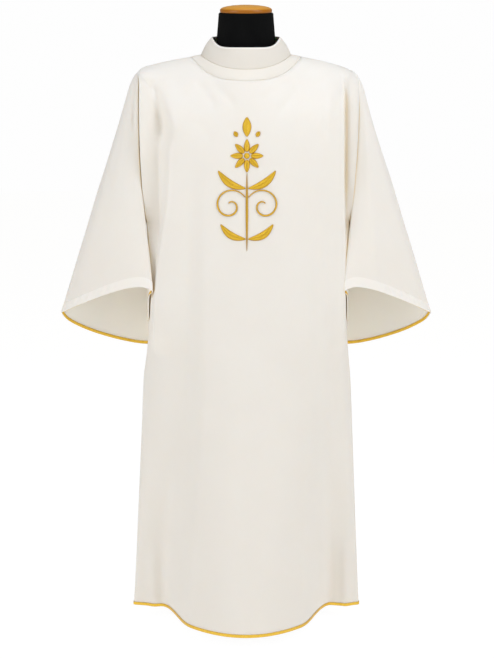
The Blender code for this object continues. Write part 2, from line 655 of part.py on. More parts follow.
def raised(name, grid, ridge, closed, material):
    """A low pad of stitches: a grid of (x, z) places on the front, with its height at each."""
    flat = np.array(grid)
    point, normal = onFront(sprayX + flat[..., 0], sprayZ + flat[..., 1])
    outer = point + normal * (seamGap + np.array(ridge))[..., None]
    inner = point + normal * seamGap
    rows, columns = flat.shape[:2]
    faces = gridFaces(rows, columns, closed=closed, flip=True)
    wallBetween(name, outer.reshape(-1, 3), inner.reshape(-1, 3), faces, material)


def stitchedBand(name, middle, half, material):
    """Satin stitches across a middle line: left edge, raised rib and right edge."""
    way = unit(np.gradient(middle, axis=0))
    across = np.stack([way[:, 1], -way[:, 0]], axis=1) * half[:, None]
    places = np.stack([middle - across, middle, middle + across], axis=1)
    heights = np.tile([stitchHeight * 0.5, stitchHeight, stitchHeight * 0.5], (len(middle), 1))
    raised(name, places, heights, False, material)


def makeLeaf(name, mirror, row, material):
    share = np.linspace(0, 1, row["steps"] + 1)
    base = np.array([row["baseX"] * mirror, row["baseZ"]])
    tip = np.array([row["tipX"] * mirror, row["tipZ"]])
    way = unit(tip - base)
    aside = np.array([way[1], -way[0]]) * row["bow"] * mirror
    middle = base + np.outer(share, tip - base) + np.outer(np.sin(math.pi * share), aside)
    half = row["width"] / 2 * np.sin(math.pi * (0.06 + 0.88 * share)) ** 0.8
    stitchedBand(name, middle, half, material)


def makeTendril(name, mirror, material):
    share = np.linspace(0, 1, tendrilSteps + 1)
    turn = np.radians(tendrilTurns[0] + (tendrilTurns[1] - tendrilTurns[0]) * share)
    radius = tendrilRadii[0] + (tendrilRadii[1] - tendrilRadii[0]) * share
    x = mirror * (tendrilMiddle[0] + radius * np.cos(turn))
    half = tendrilWidth / 2 * (0.55 + 0.45 * np.sin(math.pi * share))
    stitchedBand(name, np.stack([x, tendrilMiddle[1] + radius * np.sin(turn)], axis=1), half, material)


def makeFlower(name, material):
    turn = np.linspace(0, 2 * math.pi, flowerPetals * petalColumns, endpoint=False)
    places = []
    for ring, notch in zip(flowerRings, petalNotch):
        radius = ring * (1 - notch * (0.5 - 0.5 * np.cos(flowerPetals * turn)) ** 2)
        places.append(np.stack([radius * np.sin(turn), flowerZ + radius * np.cos(turn)], axis=1))
    heights = [[stitchHeight * share] * len(turn) for share in flowerHeights]
    raised(name, places, heights, True, material)


def makeSpray(material):
    for values in sprayLeaves:
        row = dict(zip(leafColumns, values))
        if row["pair"]:
            makeLeaf("spray_" + row["name"] + "_left", -1, row, material)
            makeLeaf("spray_" + row["name"] + "_right", 1, row, material)
        else:
            makeLeaf("spray_" + row["name"], 1, row, material)
    makeTendril("spray_tendril_left", -1, material)
    makeTendril("spray_tendril_right", 1, material)
    makeFlower("spray_flower", material)


for thing in list(bpy.data.objects):
    bpy.data.objects.remove(thing, do_unlink=True)

ivoryCloth = makeMaterial("ivory_cloth", (0.83, 0.80, 0.74), 0.8)
goldThread = makeMaterial("gold_thread", (0.78, 0.47, 0.08), 0.4)
blackJersey = makeMaterial("black_jersey", (0.012, 0.012, 0.012), 0.85)
honeyWood = makeMaterial("honey_wood", (0.55, 0.28, 0.10), 0.45)
blackSteel = makeMaterial("black_steel", (0.02, 0.02, 0.02), 0.4)
makePanels(ivoryCloth)
makeHemBraid(goldThread)
makeSleeve("sleeve_left", -1, ivoryCloth)
makeSleeve("sleeve_right", 1, ivoryCloth)
makeCuffBraid("cuff_braid_left", -1, goldThread)
makeCuffBraid("cuff_braid_right", 1, goldThread)
makeNeck(ivoryCloth)
makeForm(blackJersey)
makeStand(blackSteel, honeyWood)
makeSpray(goldThread)
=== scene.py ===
import math

import bpy
import numpy as np
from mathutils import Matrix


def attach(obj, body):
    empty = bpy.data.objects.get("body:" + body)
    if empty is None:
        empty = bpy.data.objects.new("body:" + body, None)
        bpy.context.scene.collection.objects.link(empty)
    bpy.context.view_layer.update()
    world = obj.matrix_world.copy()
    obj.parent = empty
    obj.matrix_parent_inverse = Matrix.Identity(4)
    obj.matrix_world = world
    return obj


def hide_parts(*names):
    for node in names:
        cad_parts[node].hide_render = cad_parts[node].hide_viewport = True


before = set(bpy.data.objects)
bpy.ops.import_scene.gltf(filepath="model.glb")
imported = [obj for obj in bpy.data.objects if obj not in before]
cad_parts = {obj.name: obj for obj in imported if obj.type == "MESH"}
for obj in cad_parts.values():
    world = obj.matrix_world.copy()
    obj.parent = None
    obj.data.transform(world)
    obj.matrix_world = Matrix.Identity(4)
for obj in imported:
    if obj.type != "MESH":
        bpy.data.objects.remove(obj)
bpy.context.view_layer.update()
print("frame loaded")

hands = {"left": -1, "right": 1}


def rowsOf(table, names, rows):
    return [dict(zip(table[names], row)) for row in table[rows]]


def smoothAlong(places, values, at):
    # monotone cubic, so that no fold overshoots its levels
    if places[0] > places[-1]:
        places, values = places[::-1], values[::-1]
    steps = np.diff(places)
    slopes = np.diff(values) / steps
    both = slopes[:-1] + slopes[1:]
    product = slopes[:-1] * slopes[1:]
    inner = np.where(product > 0, 2 * product / np.where(both == 0, 1, both), 0)
    tangents = np.concatenate([slopes[:1], inner, slopes[-1:]])
    at = np.clip(np.asarray(at, float), places[0], places[-1])
    low = np.clip(np.searchsorted(places, at, side="right") - 1, 0, len(steps) - 1)
    step = steps[low]
    t = (at - places[low]) / step
    return (
        values[low] * (1 + 2 * t) * (1 - t) ** 2
        + values[low + 1] * t * t * (3 - 2 * t)
        + step * (tangents[low] * t * (1 - t) ** 2 + tangents[low + 1] * t * t * (t - 1))
    )


def levelOf(table, name, at):
    # a table's first column says where its levels lie
    place, levels = table["names"].index(name), np.array(table["levels"], float)
    return smoothAlong(levels[:, 0], levels[:, place], at)


def ease(start, end, x):
    t = np.clip((x - start) / (end - start), 0.0, 1.0)
    return t * t * (3 - 2 * t)


def softStep(start, end, x):
    t = np.clip((x - start) / (end - start), 0.0, 1.0)
    return t ** 3 * (t * (6 * t - 15) + 10)


def unit(vectors):
    return vectors / np.maximum(np.linalg.norm(vectors, axis=-1, keepdims=True), 1e-12)


def lengthAlong(path):
    # from the start of the path to each of its points
    steps = np.linalg.norm(np.diff(path, axis=0), axis=-1)
    return np.concatenate([np.zeros_like(steps[:1]), np.cumsum(steps, axis=0)])


def curveThrough(controls, counts):
    # a smooth curve through the points, with so many steps between them
    points = []
    last = len(controls) - 1
    for i in range(last):
        before, here = controls[max(i - 1, 0)], controls[i]
        after, beyond = controls[i + 1], controls[min(i + 2, last)]
        for step in range(counts[i]):
            t = step / counts[i]
            points.append(0.5 * (
                2 * here + (after - before) * t
                + (2 * before - 5 * here + 4 * after - beyond) * t * t
                + (3 * here - before - 3 * after + beyond) * t ** 3
            ))
    points.append(controls[-1])
    return np.array(points)


def ovalRing(turns, rise, left, right, frontY, backY, sideZ, frontZ, backZ):
    # a level round the neck or the form that climbs from the middle to both sides
    across, isFront = np.sin(turns), np.cos(turns) > 0
    x = np.where(across < 0, left, right) * across
    y = -np.cos(turns) * np.where(isFront, frontY, backY)
    middleZ = np.where(isFront, frontZ, backZ)
    return np.stack([x, y, middleZ + (sideZ - middleZ) * np.abs(across) ** rise], axis=-1)


def gridNormals(grid, closed=False):
    if closed:
        grid = np.concatenate([grid[:, -2:], grid, grid[:, :2]], axis=1)
    normals = unit(np.cross(np.gradient(grid, axis=0), np.gradient(grid, axis=1)))
    return normals[:, 2:-2] if closed else normals


def gridFaces(rows, columns, closed=False, looped=False, flip=False):
    # closed joins the last column to the first, looped the last row to the first
    counts = rows if looped else rows - 1, columns if closed else columns - 1
    r, c = np.indices(counts)
    below, after = (r + 1) % rows, (c + 1) % columns
    corners = ((r, c), (below, c), (below, after), (r, after))
    quads = np.stack([row * columns + column for row, column in corners], axis=-1).reshape(-1, 4)
    return quads[:, ::-1] if flip else quads


def wallFaces(faces, count):
    # the outer faces, the same turned over for the inner ones, and a strip along each open edge
    ends = np.concatenate([faces[:, [c, (c + 1) % 4]] for c in range(4)])
    rim = ends[~np.isin(ends[:, 0] * count + ends[:, 1], ends[:, 1] * count + ends[:, 0])]
    strip = np.stack([rim[:, 1], rim[:, 0], rim[:, 0] + count, rim[:, 1] + count], axis=1)
    kinds = np.repeat([0, 1, 0], [len(faces), len(faces), len(strip)])
    return np.concatenate([faces, faces[:, ::-1] + count, strip]), kinds


def placesOnCloth(grid):
    # metres across from the middle column and up from the foot, for weaves and stitches
    across = lengthAlong(grid.swapaxes(0, 1)).T
    down = lengthAlong(grid)
    return np.stack([across - across[:, across.shape[1] // 2][:, None], down[-1] - down], axis=-1)


def makeMesh(name, points, faces, places, materials, kinds=None, smooth=True):
    mesh = bpy.data.meshes.new(name)
    mesh.from_pydata(points.reshape(-1, 3).tolist(), [], [tuple(face) for face in faces])
    for material in materials:
        mesh.materials.append(material)
    if kinds is not None:
        mesh.polygons.foreach_set("material_index", kinds.astype(np.int32))
    if smooth:
        mesh.shade_smooth()
    corners = np.empty(len(mesh.loops), np.int32)
    mesh.loops.foreach_get("vertex_index", corners)
    layer = mesh.uv_layers.new(name="cloth")
    if places is not None:
        layer.data.foreach_set("uv", places.reshape(-1, 2)[corners].astype(np.float32).ravel())
    piece = bpy.data.objects.new(name, mesh)
    bpy.context.scene.collection.objects.link(piece)
    return piece


def clothWall(name, grid, normals, materials, closed=False, flip=False, places=None, under=None):
    # a thin wall of cloth: outer face, inner face and the edges between them
    faces = gridFaces(*grid.shape[:2], closed=closed, flip=flip)
    faces, kinds = wallFaces(faces, grid.shape[0] * grid.shape[1])
    inner = (grid if under is None else under) - normals * bodyCut["wall"]
    places = placesOnCloth(grid) if places is None else places
    pair = np.concatenate([grid, inner]), np.concatenate([places, places])
    return makeMesh(name, pair[0], faces.tolist(), pair[1], materials, kinds)


def settle(piece, slotName, *nodes):
    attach(piece, "root")
    if nodes:
        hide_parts(*nodes)
    return piece


# shares of a crease's length over which it rises and fades
creaseEnds = {"rise": (-0.16, 0.22), "fade": (0.78, 1.16)}


def creaseDepth(row, x, z):
    # how far a crease moves the cloth at these places
    runX, runZ = row["lowX"] - row["topX"], row["lowZ"] - row["topZ"]
    length = math.hypot(runX, runZ)
    along = ((x - row["topX"]) * runX + (z - row["topZ"]) * runZ) / length ** 2
    aside = ((x - row["topX"]) * runZ - (z - row["topZ"]) * runX) / length
    strength = ease(*creaseEnds["rise"], along) * (1 - ease(*creaseEnds["fade"], along))
    return row["depth"] * strength * np.exp(-((aside / row["width"]) ** 2))


# The cut and the fall of the body, a row for each level from the neckline to the hem: heights at
# the sides, centre front and centre back, the distance to each side, the depths, and how square
# the section is.
bodyCut = {
    "wall": 0.0015,
    "seamGap": 0.0003,
    "shoulderTop": 1.268,
    "armpit": 0.95,
    "armholeDepth": {"left": 0.055, "right": 0.07},
    "alongTip": 0.1,
    "alongArmpit": 0.32,
    "rows": (14, 64, 104),  # down to the shoulder tip, the armpit and the hem
    "columns": 220,
    "ringRise": (3.2, 2.4),  # how late a level climbs to the sides, at the neckline and lower down
    "names": ("along", "sideZ", "frontZ", "backZ", "left", "right", "frontY", "backY", "squareness"),
    "levels": (
        (0.0, 1.2985, 1.251, 1.29, 0.118, 0.1195, 0.108, 0.1, 2.1),
        (0.05, 1.287, 1.202, 1.245, 0.18, 0.1745, 0.122, 0.114, 2.3),
        (0.1, 1.268, 1.15, 1.2, 0.2335, 0.229, 0.131, 0.124, 2.5),
        (0.14, 1.24, 1.103, 1.15, 0.2325, 0.242, 0.136, 0.131, 2.5),
        (0.21, 1.109, 1.022, 1.06, 0.23, 0.239, 0.141, 0.135, 2.5),
        (0.32, 0.95, 0.9, 0.92, 0.2225, 0.231, 0.146, 0.137, 2.8),
        (0.36, 0.895, 0.849, 0.865, 0.2205, 0.2288, 0.148, 0.1385, 3.2),
        (0.42, 0.795, 0.772, 0.78, 0.22, 0.2284, 0.1515, 0.1405, 3.2),
        (0.48, 0.7, 0.695, 0.697, 0.22, 0.2284, 0.155, 0.143, 2.8),
        (0.52, 0.644, 0.644, 0.644, 0.2245, 0.2315, 0.158, 0.145, 2.6),
        (0.57, 0.58, 0.58, 0.58, 0.233, 0.2375, 0.161, 0.148, 2.5),
        (0.66, 0.465, 0.465, 0.465, 0.2388, 0.2435, 0.168, 0.155, 2.6),
        (0.8, 0.286, 0.286, 0.286, 0.249, 0.252, 0.181, 0.168, 2.8),
        (0.92, 0.132, 0.132, 0.132, 0.2574, 0.2596, 0.192, 0.18, 3.0),
        (1.0, 0.03, 0.03, 0.03, 0.264, 0.265, 0.2, 0.188, 3.2),
    ),
}
# Where the front turns back beside the sleeves, and the creases of both panels.
bodyFolds = {
    "names": ("along", "open", "leftTurn", "leftSettle", "leftDrop", "leftEdge",
              "rightTurn", "rightSettle", "rightDrop", "rightEdge"),
    "levels": (
        (0.0, 0.0, 0.15, 0.2, 0.1, 0.21, 0.2, 0.208, 0.1, 0.212),
        (0.06, 0.0, 0.148, 0.196, 0.08, 0.19, 0.204, 0.208, 0.08, 0.19),
        (0.1, 0.4, 0.149, 0.195, 0.13, 0.2318, 0.206, 0.209, 0.16, 0.2275),
        (0.14, 0.9, 0.15, 0.193, 0.19, 0.2275, 0.2076, 0.2106, 0.18, 0.2414),
        (0.18, 1.0, 0.158, 0.19, 0.24, 0.2282, 0.208, 0.211, 0.18, 0.2402),
        (0.21, 1.0, 0.163, 0.19, 0.29, 0.2275, 0.2088, 0.2118, 0.21, 0.2382),
        (0.25, 1.0, 0.167, 0.191, 0.345, 0.224, 0.21, 0.213, 0.25, 0.2328),
        (0.28, 1.0, 0.174, 0.1885, 0.355, 0.22, 0.2125, 0.215, 0.33, 0.2292),
        (0.3, 1.0, 0.1775, 0.1885, 0.34, 0.218, 0.2135, 0.216, 0.31, 0.2265),
        (0.32, 1.0, 0.1805, 0.19, 0.31, 0.216, 0.214, 0.2165, 0.25, 0.2245),
        (0.36, 0.95, 0.1885, 0.196, 0.2, 0.2115, 0.215, 0.2185, 0.11, 0.2205),
        (0.4, 0.9, 0.195, 0.2012, 0.18, 0.21, 0.215, 0.219, 0.06, 0.2195),
        (0.43, 0.95, 0.2, 0.206, 0.16, 0.207, 0.215, 0.219, 0.1, 0.2175),
        (0.48, 0.75, 0.202, 0.207, 0.16, 0.2068, 0.215, 0.219, 0.12, 0.217),
        (0.52, 0.1, 0.202, 0.215, 0.6, 0.21, 0.215, 0.223, 0.5, 0.22),
        (0.66, 0.0, 0.2, 0.22, 0.8, 0.2, 0.215, 0.225, 0.6, 0.21),
        (1.0, 0.0, 0.2, 0.22, 0.8, 0.2, 0.215, 0.225, 0.6, 0.21),
    ),
    "soften": 0.001,
    "backTurn": (0.74, 0.92),  # shares of the width
    "backDrop": 0.35,
    "seamPull": 6,
    "chestFall": 0.16,
    "creaseEnd": 0.965,
    # soft troughs (below 0) and ridges, from one place on the cloth to another
    "creaseNames": ("topX", "topZ", "lowX", "lowZ", "width", "depth"),
    "frontCreases": (
        (-0.112, 1.06, -0.14, 0.11, 0.02, -0.0056),
        (0.168, 1.06, 0.182, 0.15, 0.022, -0.0062),
        (-0.104, 1.244, -0.062, 1.196, 0.011, -0.0046),
        (-0.074, 1.246, -0.02, 1.196, 0.009, -0.0036),
        (0.112, 1.24, 0.072, 1.18, 0.011, -0.0038),
        (0.076, 1.242, 0.028, 1.208, 0.009, -0.002),
        (-0.205, 1.243, -0.172, 1.259, 0.0075, -0.0024),
        (-0.192, 1.226, -0.14, 1.25, 0.013, -0.002),
        (-0.2065, 1.25, -0.171, 1.122, 0.0165, -0.017),
        (0.182, 1.222, 0.172, 1.13, 0.012, -0.0034),
        (0.2125, 1.262, 0.215, 0.985, 0.005, -0.0068),
        (-0.104, 1.17, -0.07, 1.12, 0.012, -0.0012),
        (-0.188, 1.19, -0.196, 1.06, 0.016, -0.004),
        (-0.214, 0.18, -0.214, -0.06, 0.016, 0.007),
        (0.19, 0.2, 0.196, -0.06, 0.013, -0.004),
        (0.23, 0.2, 0.236, -0.06, 0.013, 0.0055),
        (0.03, 0.8, 0.016, 0.12, 0.03, -0.0016),
        (-0.03, 0.7, -0.046, 0.08, 0.024, 0.0014),
        (0.078, 0.76, 0.088, 0.1, 0.026, 0.0014),
        (-0.182, 0.64, -0.198, 0.13, 0.016, 0.0016),
        (0.214, 0.56, 0.226, 0.12, 0.016, -0.002),
    ),
    "backCreases": (
        (0.0, 1.1, 0.01, -0.25, 0.045, -0.016),
        (-0.12, 1.06, -0.135, 0.24, 0.02, -0.006),
        (0.125, 1.06, 0.14, 0.24, 0.022, -0.006),
        (-0.06, 1.245, -0.016, 1.19, 0.01, -0.0018),
        (0.066, 1.245, 0.024, 1.2, 0.01, -0.0016),
        (-0.19, 1.21, -0.172, 0.98, 0.015, -0.0034),
        (0.192, 1.215, 0.178, 1.01, 0.015, -0.003),
        (0.062, 0.9, 0.078, 0.09, 0.024, 0.003),
        (-0.058, 0.86, -0.066, 0.12, 0.026, 0.0026),
        (-0.196, 0.62, -0.214, 0.11, 0.018, -0.0026),
    ),
}
# How the big fold in the middle of the skirt opens towards the hem.
skirtFold = {
    "names": ("along", "share", "leftStart", "leftEnd", "rightStart", "rightEnd", "wing",
              "backShare", "backStart", "backEnd"),
    "levels": (
        (0.0, 0.0, 0.06, 0.12, 0.06, 0.12, 0.05, 0.0, 0.06, 0.12),
        (0.06, 0.0, 0.07, 0.16, 0.12, 0.2, 0.05, 0.0, 0.08, 0.17),
        (0.1, 0.0, 0.07, 0.16, 0.12, 0.2, 0.05, 0.0, 0.08, 0.17),
        (0.14, 0.02, 0.075, 0.17, 0.13, 0.2, 0.05, 0.02, 0.085, 0.18),
        (0.18, 0.04, 0.078, 0.17, 0.13, 0.205, 0.05, 0.04, 0.088, 0.185),
        (0.21, 0.06, 0.08, 0.17, 0.13, 0.21, 0.05, 0.06, 0.09, 0.19),
        (0.25, 0.08, 0.08, 0.17, 0.13, 0.21, 0.05, 0.08, 0.092, 0.195),
        (0.28, 0.09, 0.08, 0.17, 0.13, 0.21, 0.05, 0.09, 0.094, 0.198),
        (0.3, 0.1, 0.08, 0.17, 0.13, 0.21, 0.05, 0.1, 0.095, 0.2),
        (0.32, 0.11, 0.08, 0.17, 0.13, 0.21, 0.05, 0.11, 0.095, 0.2),
        (0.36, 0.13, 0.08, 0.17, 0.13, 0.21, 0.05, 0.12, 0.095, 0.2),
        (0.4, 0.16, 0.08, 0.172, 0.13, 0.212, 0.05, 0.15, 0.096, 0.202),
        (0.43, 0.19, 0.08, 0.175, 0.13, 0.215, 0.049, 0.17, 0.097, 0.205),
        (0.48, 0.24, 0.08, 0.178, 0.13, 0.217, 0.048, 0.22, 0.099, 0.208),
        (0.52, 0.28, 0.08, 0.18, 0.13, 0.22, 0.048, 0.25, 0.1, 0.21),
        (0.66, 0.5, 0.09, 0.2, 0.13, 0.22, 0.04, 0.42, 0.105, 0.21),
        (0.8, 0.78, 0.103, 0.21, 0.123, 0.22, 0.026, 0.64, 0.11, 0.21),
        (0.92, 0.95, 0.116, 0.215, 0.12, 0.215, 0.016, 0.84, 0.115, 0.21),
        (1.0, 1.0, 0.122, 0.214, 0.12, 0.21, 0.012, 0.92, 0.12, 0.21),
    ),
    "fall": 0.88,
}


def armholeAt(along, isLeft):
    tip, armpit = bodyCut["alongTip"], bodyCut["alongArmpit"]
    turn = math.pi * np.clip((along - tip) / (armpit - tip), 0, 1)
    top, low = bodyCut["shoulderTop"], bodyCut["armpit"]
    depth = np.where(isLeft, bodyCut["armholeDepth"]["left"], bodyCut["armholeDepth"]["right"])
    return depth * np.sin(turn), (top + low) / 2 + (top - low) / 2 * np.cos(turn)


def ringRise(along):
    # the neckline climbs late and steeply to the shoulders, lower rings more evenly
    neckline, lower = bodyCut["ringRise"]
    return neckline + (lower - neckline) * ease(0.0, bodyCut["alongTip"], along)


def bodyPoint(along, turn, front):
    # along runs from the neckline to the hem, turn from the left seam to the right one
    across = np.sin(turn)
    far = np.abs(across)
    isLeft = across < 0

    def sided(table, name=""):
        left, right = (levelOf(table, side + name, along) for side in ("left", "right"))
        return np.where(isLeft, left, right)

    panel = "front" if front else "back"
    width = sided(bodyCut)
    x = width * across
    reach = np.abs(x)
    squareness = levelOf(bodyCut, "squareness", along)
    rounded = np.maximum(1 - far ** squareness, 0) ** (1 / squareness)
    if front:
        # beside each sleeve the front drops back once, runs level and drops again at the seam
        drop, soften = sided(bodyFolds, "Drop"), bodyFolds["soften"]
        starts, settles = sided(bodyFolds, "Turn") - soften, sided(bodyFolds, "Settle") + soften
        turned = 1 - drop * softStep(starts, settles, reach)
        turned = turned - (1 - drop) * ease(sided(bodyFolds, "Edge"), width, reach)
        start, end = sided(skirtFold, "Start"), sided(skirtFold, "End")
        share = levelOf(skirtFold, "share", along)
    else:
        drop, (first, second) = bodyFolds["backDrop"], bodyFolds["backTurn"]
        turned = 1 - drop * ease(width * first, width * second, reach)
        turned = turned - (1 - drop) * ease(width * second, width, reach)
        names = ("backStart", "backEnd", "backShare")
        start, end, share = (levelOf(skirtFold, name, along) for name in names)
    opening = levelOf(bodyFolds, "open", along)
    broad = (1 - bodyFolds["chestFall"] * far ** 2) * ((1 - opening) * rounded + opening * turned)
    lobe = np.maximum(1 - skirtFold["fall"] * (x / end) ** 2, 0) * (1 - softStep(start, end, reach))
    depth = levelOf(bodyCut, panel + "Y", along)
    wing = levelOf(skirtFold, "wing", along) / depth
    lobed = (1 - wing) * lobe + wing * rounded
    armholeY, armholeZ = armholeAt(along, isLeft)
    inArmhole = (along > bodyCut["alongTip"]) & (along < bodyCut["alongArmpit"])
    near = np.where(inArmhole, armholeY, 0.0) * far ** bodyFolds["seamPull"]
    out = near + (depth - near) * ((1 - share) * broad + share * lobed)
    sideZ = np.where(inArmhole, armholeZ, levelOf(bodyCut, "sideZ", along))
    middleZ = levelOf(bodyCut, panel + "Z", along)
    z = middleZ + (sideZ - middleZ) * far ** ringRise(along)
    for row in rowsOf(bodyFolds, "creaseNames", panel + "Creases"):
        out = out + creaseDepth(row, x, z) * (1 - ease(bodyFolds["creaseEnd"], 1.0, far))
    return np.stack([x, -out if front else out, z], axis=-1)


def armholeNormal(along, isLeft, sign):
    edgeY, edgeZ = armholeAt(along, isLeft)
    return unit(np.array([0.0, sign * edgeY, edgeZ - (bodyCut["shoulderTop"] + bodyCut["armpit"]) / 2]))


def bodySurface():
    # front and back grids with their normals, half a gap in from the seams
    tip, armpit, slack = bodyCut["alongTip"], bodyCut["alongArmpit"], 1e-9
    spans = zip((0, tip, armpit), (tip, armpit, 1), bodyCut["rows"])
    parts = (np.linspace(low, high, count + 1)[1:] for low, high, count in spans)
    rows = np.concatenate([[0.0], *parts])
    columns = bodyCut["columns"]
    along, turn = np.meshgrid(rows, np.radians(np.linspace(-90, 90, columns + 1)), indexing="ij")
    front, back = bodyPoint(along, turn, True), bodyPoint(along, turn, False)
    ring = gridNormals(np.concatenate([front, back[:, ::-1][:, 1:-1]], axis=1), closed=True)
    frontNormals = ring[:, : columns + 1].copy()
    backNormals = np.concatenate([ring[:, columns:], ring[:, :1]], axis=1)[:, ::-1].copy()
    half = bodyCut["seamGap"] / 2
    for panel, normals, sign in ((front, frontNormals, -1), (back, backNormals, 1)):
        for edge, side in ((0, -1), (-1, 1)):
            panel[:, edge, 1] += sign * half
            for r, level in enumerate(rows):
                if tip - slack <= level <= armpit + slack:
                    normals[r, edge] = armholeNormal(level, side < 0, sign)
                    panel[r, edge, 0] -= side * half
                else:
                    normals[r, edge, 1] = 0.0
        normals[:] = unit(normals)
    return front, frontNormals, back, backNormals


def feed(tree, socket, value):
    if isinstance(value, bpy.types.NodeSocket):
        tree.links.new(value, socket)
    else:
        socket.default_value = value


def addNode(tree, kind, inputs=(), **settings):
    node = tree.nodes.new("ShaderNode" + kind)
    for name, value in settings.items():
        setattr(node, name, value)
    for label, value in dict(inputs).items():
        feed(tree, node.inputs[label], value)
    return node


def mathNode(tree, operation, *values):
    return addNode(tree, "Math", enumerate(values), operation=operation).outputs[0]


def times(tree, first, second):
    return mathNode(tree, "MULTIPLY", first, second)


def plus(tree, first, second):
    return mathNode(tree, "ADD", first, second)


def mixColour(tree, share, *colours):
    # sockets 6 and 7 of the node are its two colours
    first, second = (c if isinstance(c, bpy.types.NodeSocket) else (*c, 1.0) for c in colours)
    return addNode(tree, "Mix", {0: share, 6: first, 7: second}, data_type="RGBA").outputs[2]


def noiseOf(tree, vector, scale, detail=2.0, roughness=0.5):
    inputs = {"Vector": vector, "Scale": scale, "Detail": detail, "Roughness": roughness}
    return addNode(tree, "TexNoise", inputs).outputs["Fac"]


def newGroup(name, values, outputs):
    # every group reads the place on the cloth, and puts out masks and heights
    group = bpy.data.node_groups.new(name, "ShaderNodeTree")
    group.interface.new_socket("Place", in_out="INPUT", socket_type="NodeSocketVector")
    for label, value in values.items():
        socket = group.interface.new_socket(label, in_out="INPUT", socket_type="NodeSocketFloat")
        socket.default_value = value
    for label in outputs:
        group.interface.new_socket(label, in_out="OUTPUT", socket_type="NodeSocketFloat")
    given = group.nodes.new("NodeGroupInput").outputs
    return group, given, group.nodes.new("NodeGroupOutput").inputs


def acrossAndUp(group, place):
    return addNode(group, "SeparateXYZ", {0: place}).outputs[:2]


# heights of the two ribs of the twill, and how fast the yarns vary across and up
weave = {"wale": 0.5, "weft": 0.2, "weftTurns": 1.9, "yarns": (900, 60, 1)}


def makeTwill():
    # fine diagonal weave with uneven yarns
    group, given, results = newGroup("twillWeave", {"Pitch": 0.0008, "Slub": 0.5}, ("Height", "Yarn"))
    across, up = acrossAndUp(group, given["Place"])
    turns = mathNode(group, "DIVIDE", 2 * math.pi, given["Pitch"])
    wale = mathNode(group, "SINE", times(group, plus(group, across, up), turns))
    weft = mathNode(group, "SINE", times(group, up, times(group, turns, weave["weftTurns"])))
    slub = addNode(group, "Mapping", {"Scale": weave["yarns"], "Vector": given["Place"]}).outputs[0]
    yarn = noiseOf(group, slub, 1.0)
    height = plus(group, times(group, wale, weave["wale"]), times(group, weft, weave["weft"]))
    feed(group, results["Height"], plus(group, height, times(group, yarn, given["Slub"])))
    feed(group, results["Yarn"], yarn)
    return group


patches = {"detail": 3.0, "roughness": 0.55}


def makeSoftTone():
    # broad uneven tone of cloth that has been handled and pressed
    group, given, results = newGroup("softTone", {"Size": 0.12}, ("Tone",))
    scaled = addNode(group, "VectorMath", {0: given["Place"], 1: given["Size"]}, operation="DIVIDE")
    feed(group, results["Tone"], noiseOf(group, scaled.outputs[0], 1.0, **patches))
    return group


# a softened top edge, then half a thread's width, the length of a stitch and the gap between
hemSeam = {"soft": 0.0005, "thread": 0.00035, "pitch": 0.0032, "gap": -0.4}


def makeHemLine():
    # a doubled hem: 1 inside its width, and a line of stitches just under its top
    group, given, results = newGroup("hemLine", {"Width": 0.022, "Inset": 0.0018}, ("Doubled", "Stitches"))
    across, up = acrossAndUp(group, given["Place"])
    above = mathNode(group, "SUBTRACT", up, given["Width"])
    limits = {"From Min": -hemSeam["soft"], "From Max": hemSeam["soft"], "To Min": 1.0, "To Max": 0.0}
    doubled = addNode(group, "MapRange", {"Value": above, **limits}, interpolation_type="SMOOTHSTEP")
    feed(group, results["Doubled"], doubled.outputs[0])
    away = mathNode(group, "SUBTRACT", up, mathNode(group, "SUBTRACT", given["Width"], given["Inset"]))
    near = mathNode(group, "LESS_THAN", mathNode(group, "ABSOLUTE", away), hemSeam["thread"])
    wave = mathNode(group, "SINE", times(group, across, 2 * math.pi / hemSeam["pitch"]))
    dash = mathNode(group, "GREATER_THAN", wave, hemSeam["gap"])
    feed(group, results["Stitches"], times(group, near, dash))
    return group


strandScale = {"along": 0.37, "across": 120.0}  # how fast the threads vary


def makeSatinStitch():
    # parallel shiny threads that lean away from the middle of each leaf
    group, given, results = newGroup("satinStitch", {"Thread": 0.0006, "Lean": 0.8}, ("Height", "Strand"))
    across, up = acrossAndUp(group, given["Place"])
    along = plus(group, up, times(group, mathNode(group, "ABSOLUTE", across), given["Lean"]))
    count = mathNode(group, "DIVIDE", along, given["Thread"])
    wave = mathNode(group, "SINE", times(group, count, math.pi))
    feed(group, results["Height"], mathNode(group, "ABSOLUTE", wave))
    along, aside = times(group, count, strandScale["along"]), times(group, across, strandScale["across"])
    strand = addNode(group, "CombineXYZ", {0: along, 1: aside}).outputs[0]
    feed(group, results["Strand"], noiseOf(group, strand, 1.0))
    return group


groups = {"twill": makeTwill(), "tone": makeSoftTone(), "hem": makeHemLine(), "satin": makeSatinStitch()}


def placeGroup(tree, name, **values):
    uv = addNode(tree, "UVMap", uv_map="cloth").outputs[0]
    return addNode(tree, "Group", {"Place": uv, **values}, node_tree=groups[name]).outputs


def newFinish(name, settings):
    material = bpy.data.materials.new(name)
    material.use_nodes = True
    shader = material.node_tree.nodes["Principled BSDF"]
    for label, value in settings.items():
        shader.inputs[label].default_value = value
    return material, material.node_tree, shader.inputs


def colourAndBump(tree, sockets, colour, height, bump):
    feed(tree, sockets["Base Color"], colour)
    strength, depth = bump
    raised = addNode(tree, "Bump", {"Height": height, "Strength": strength, "Distance": depth})
    feed(tree, sockets["Normal"], raised.outputs[0])


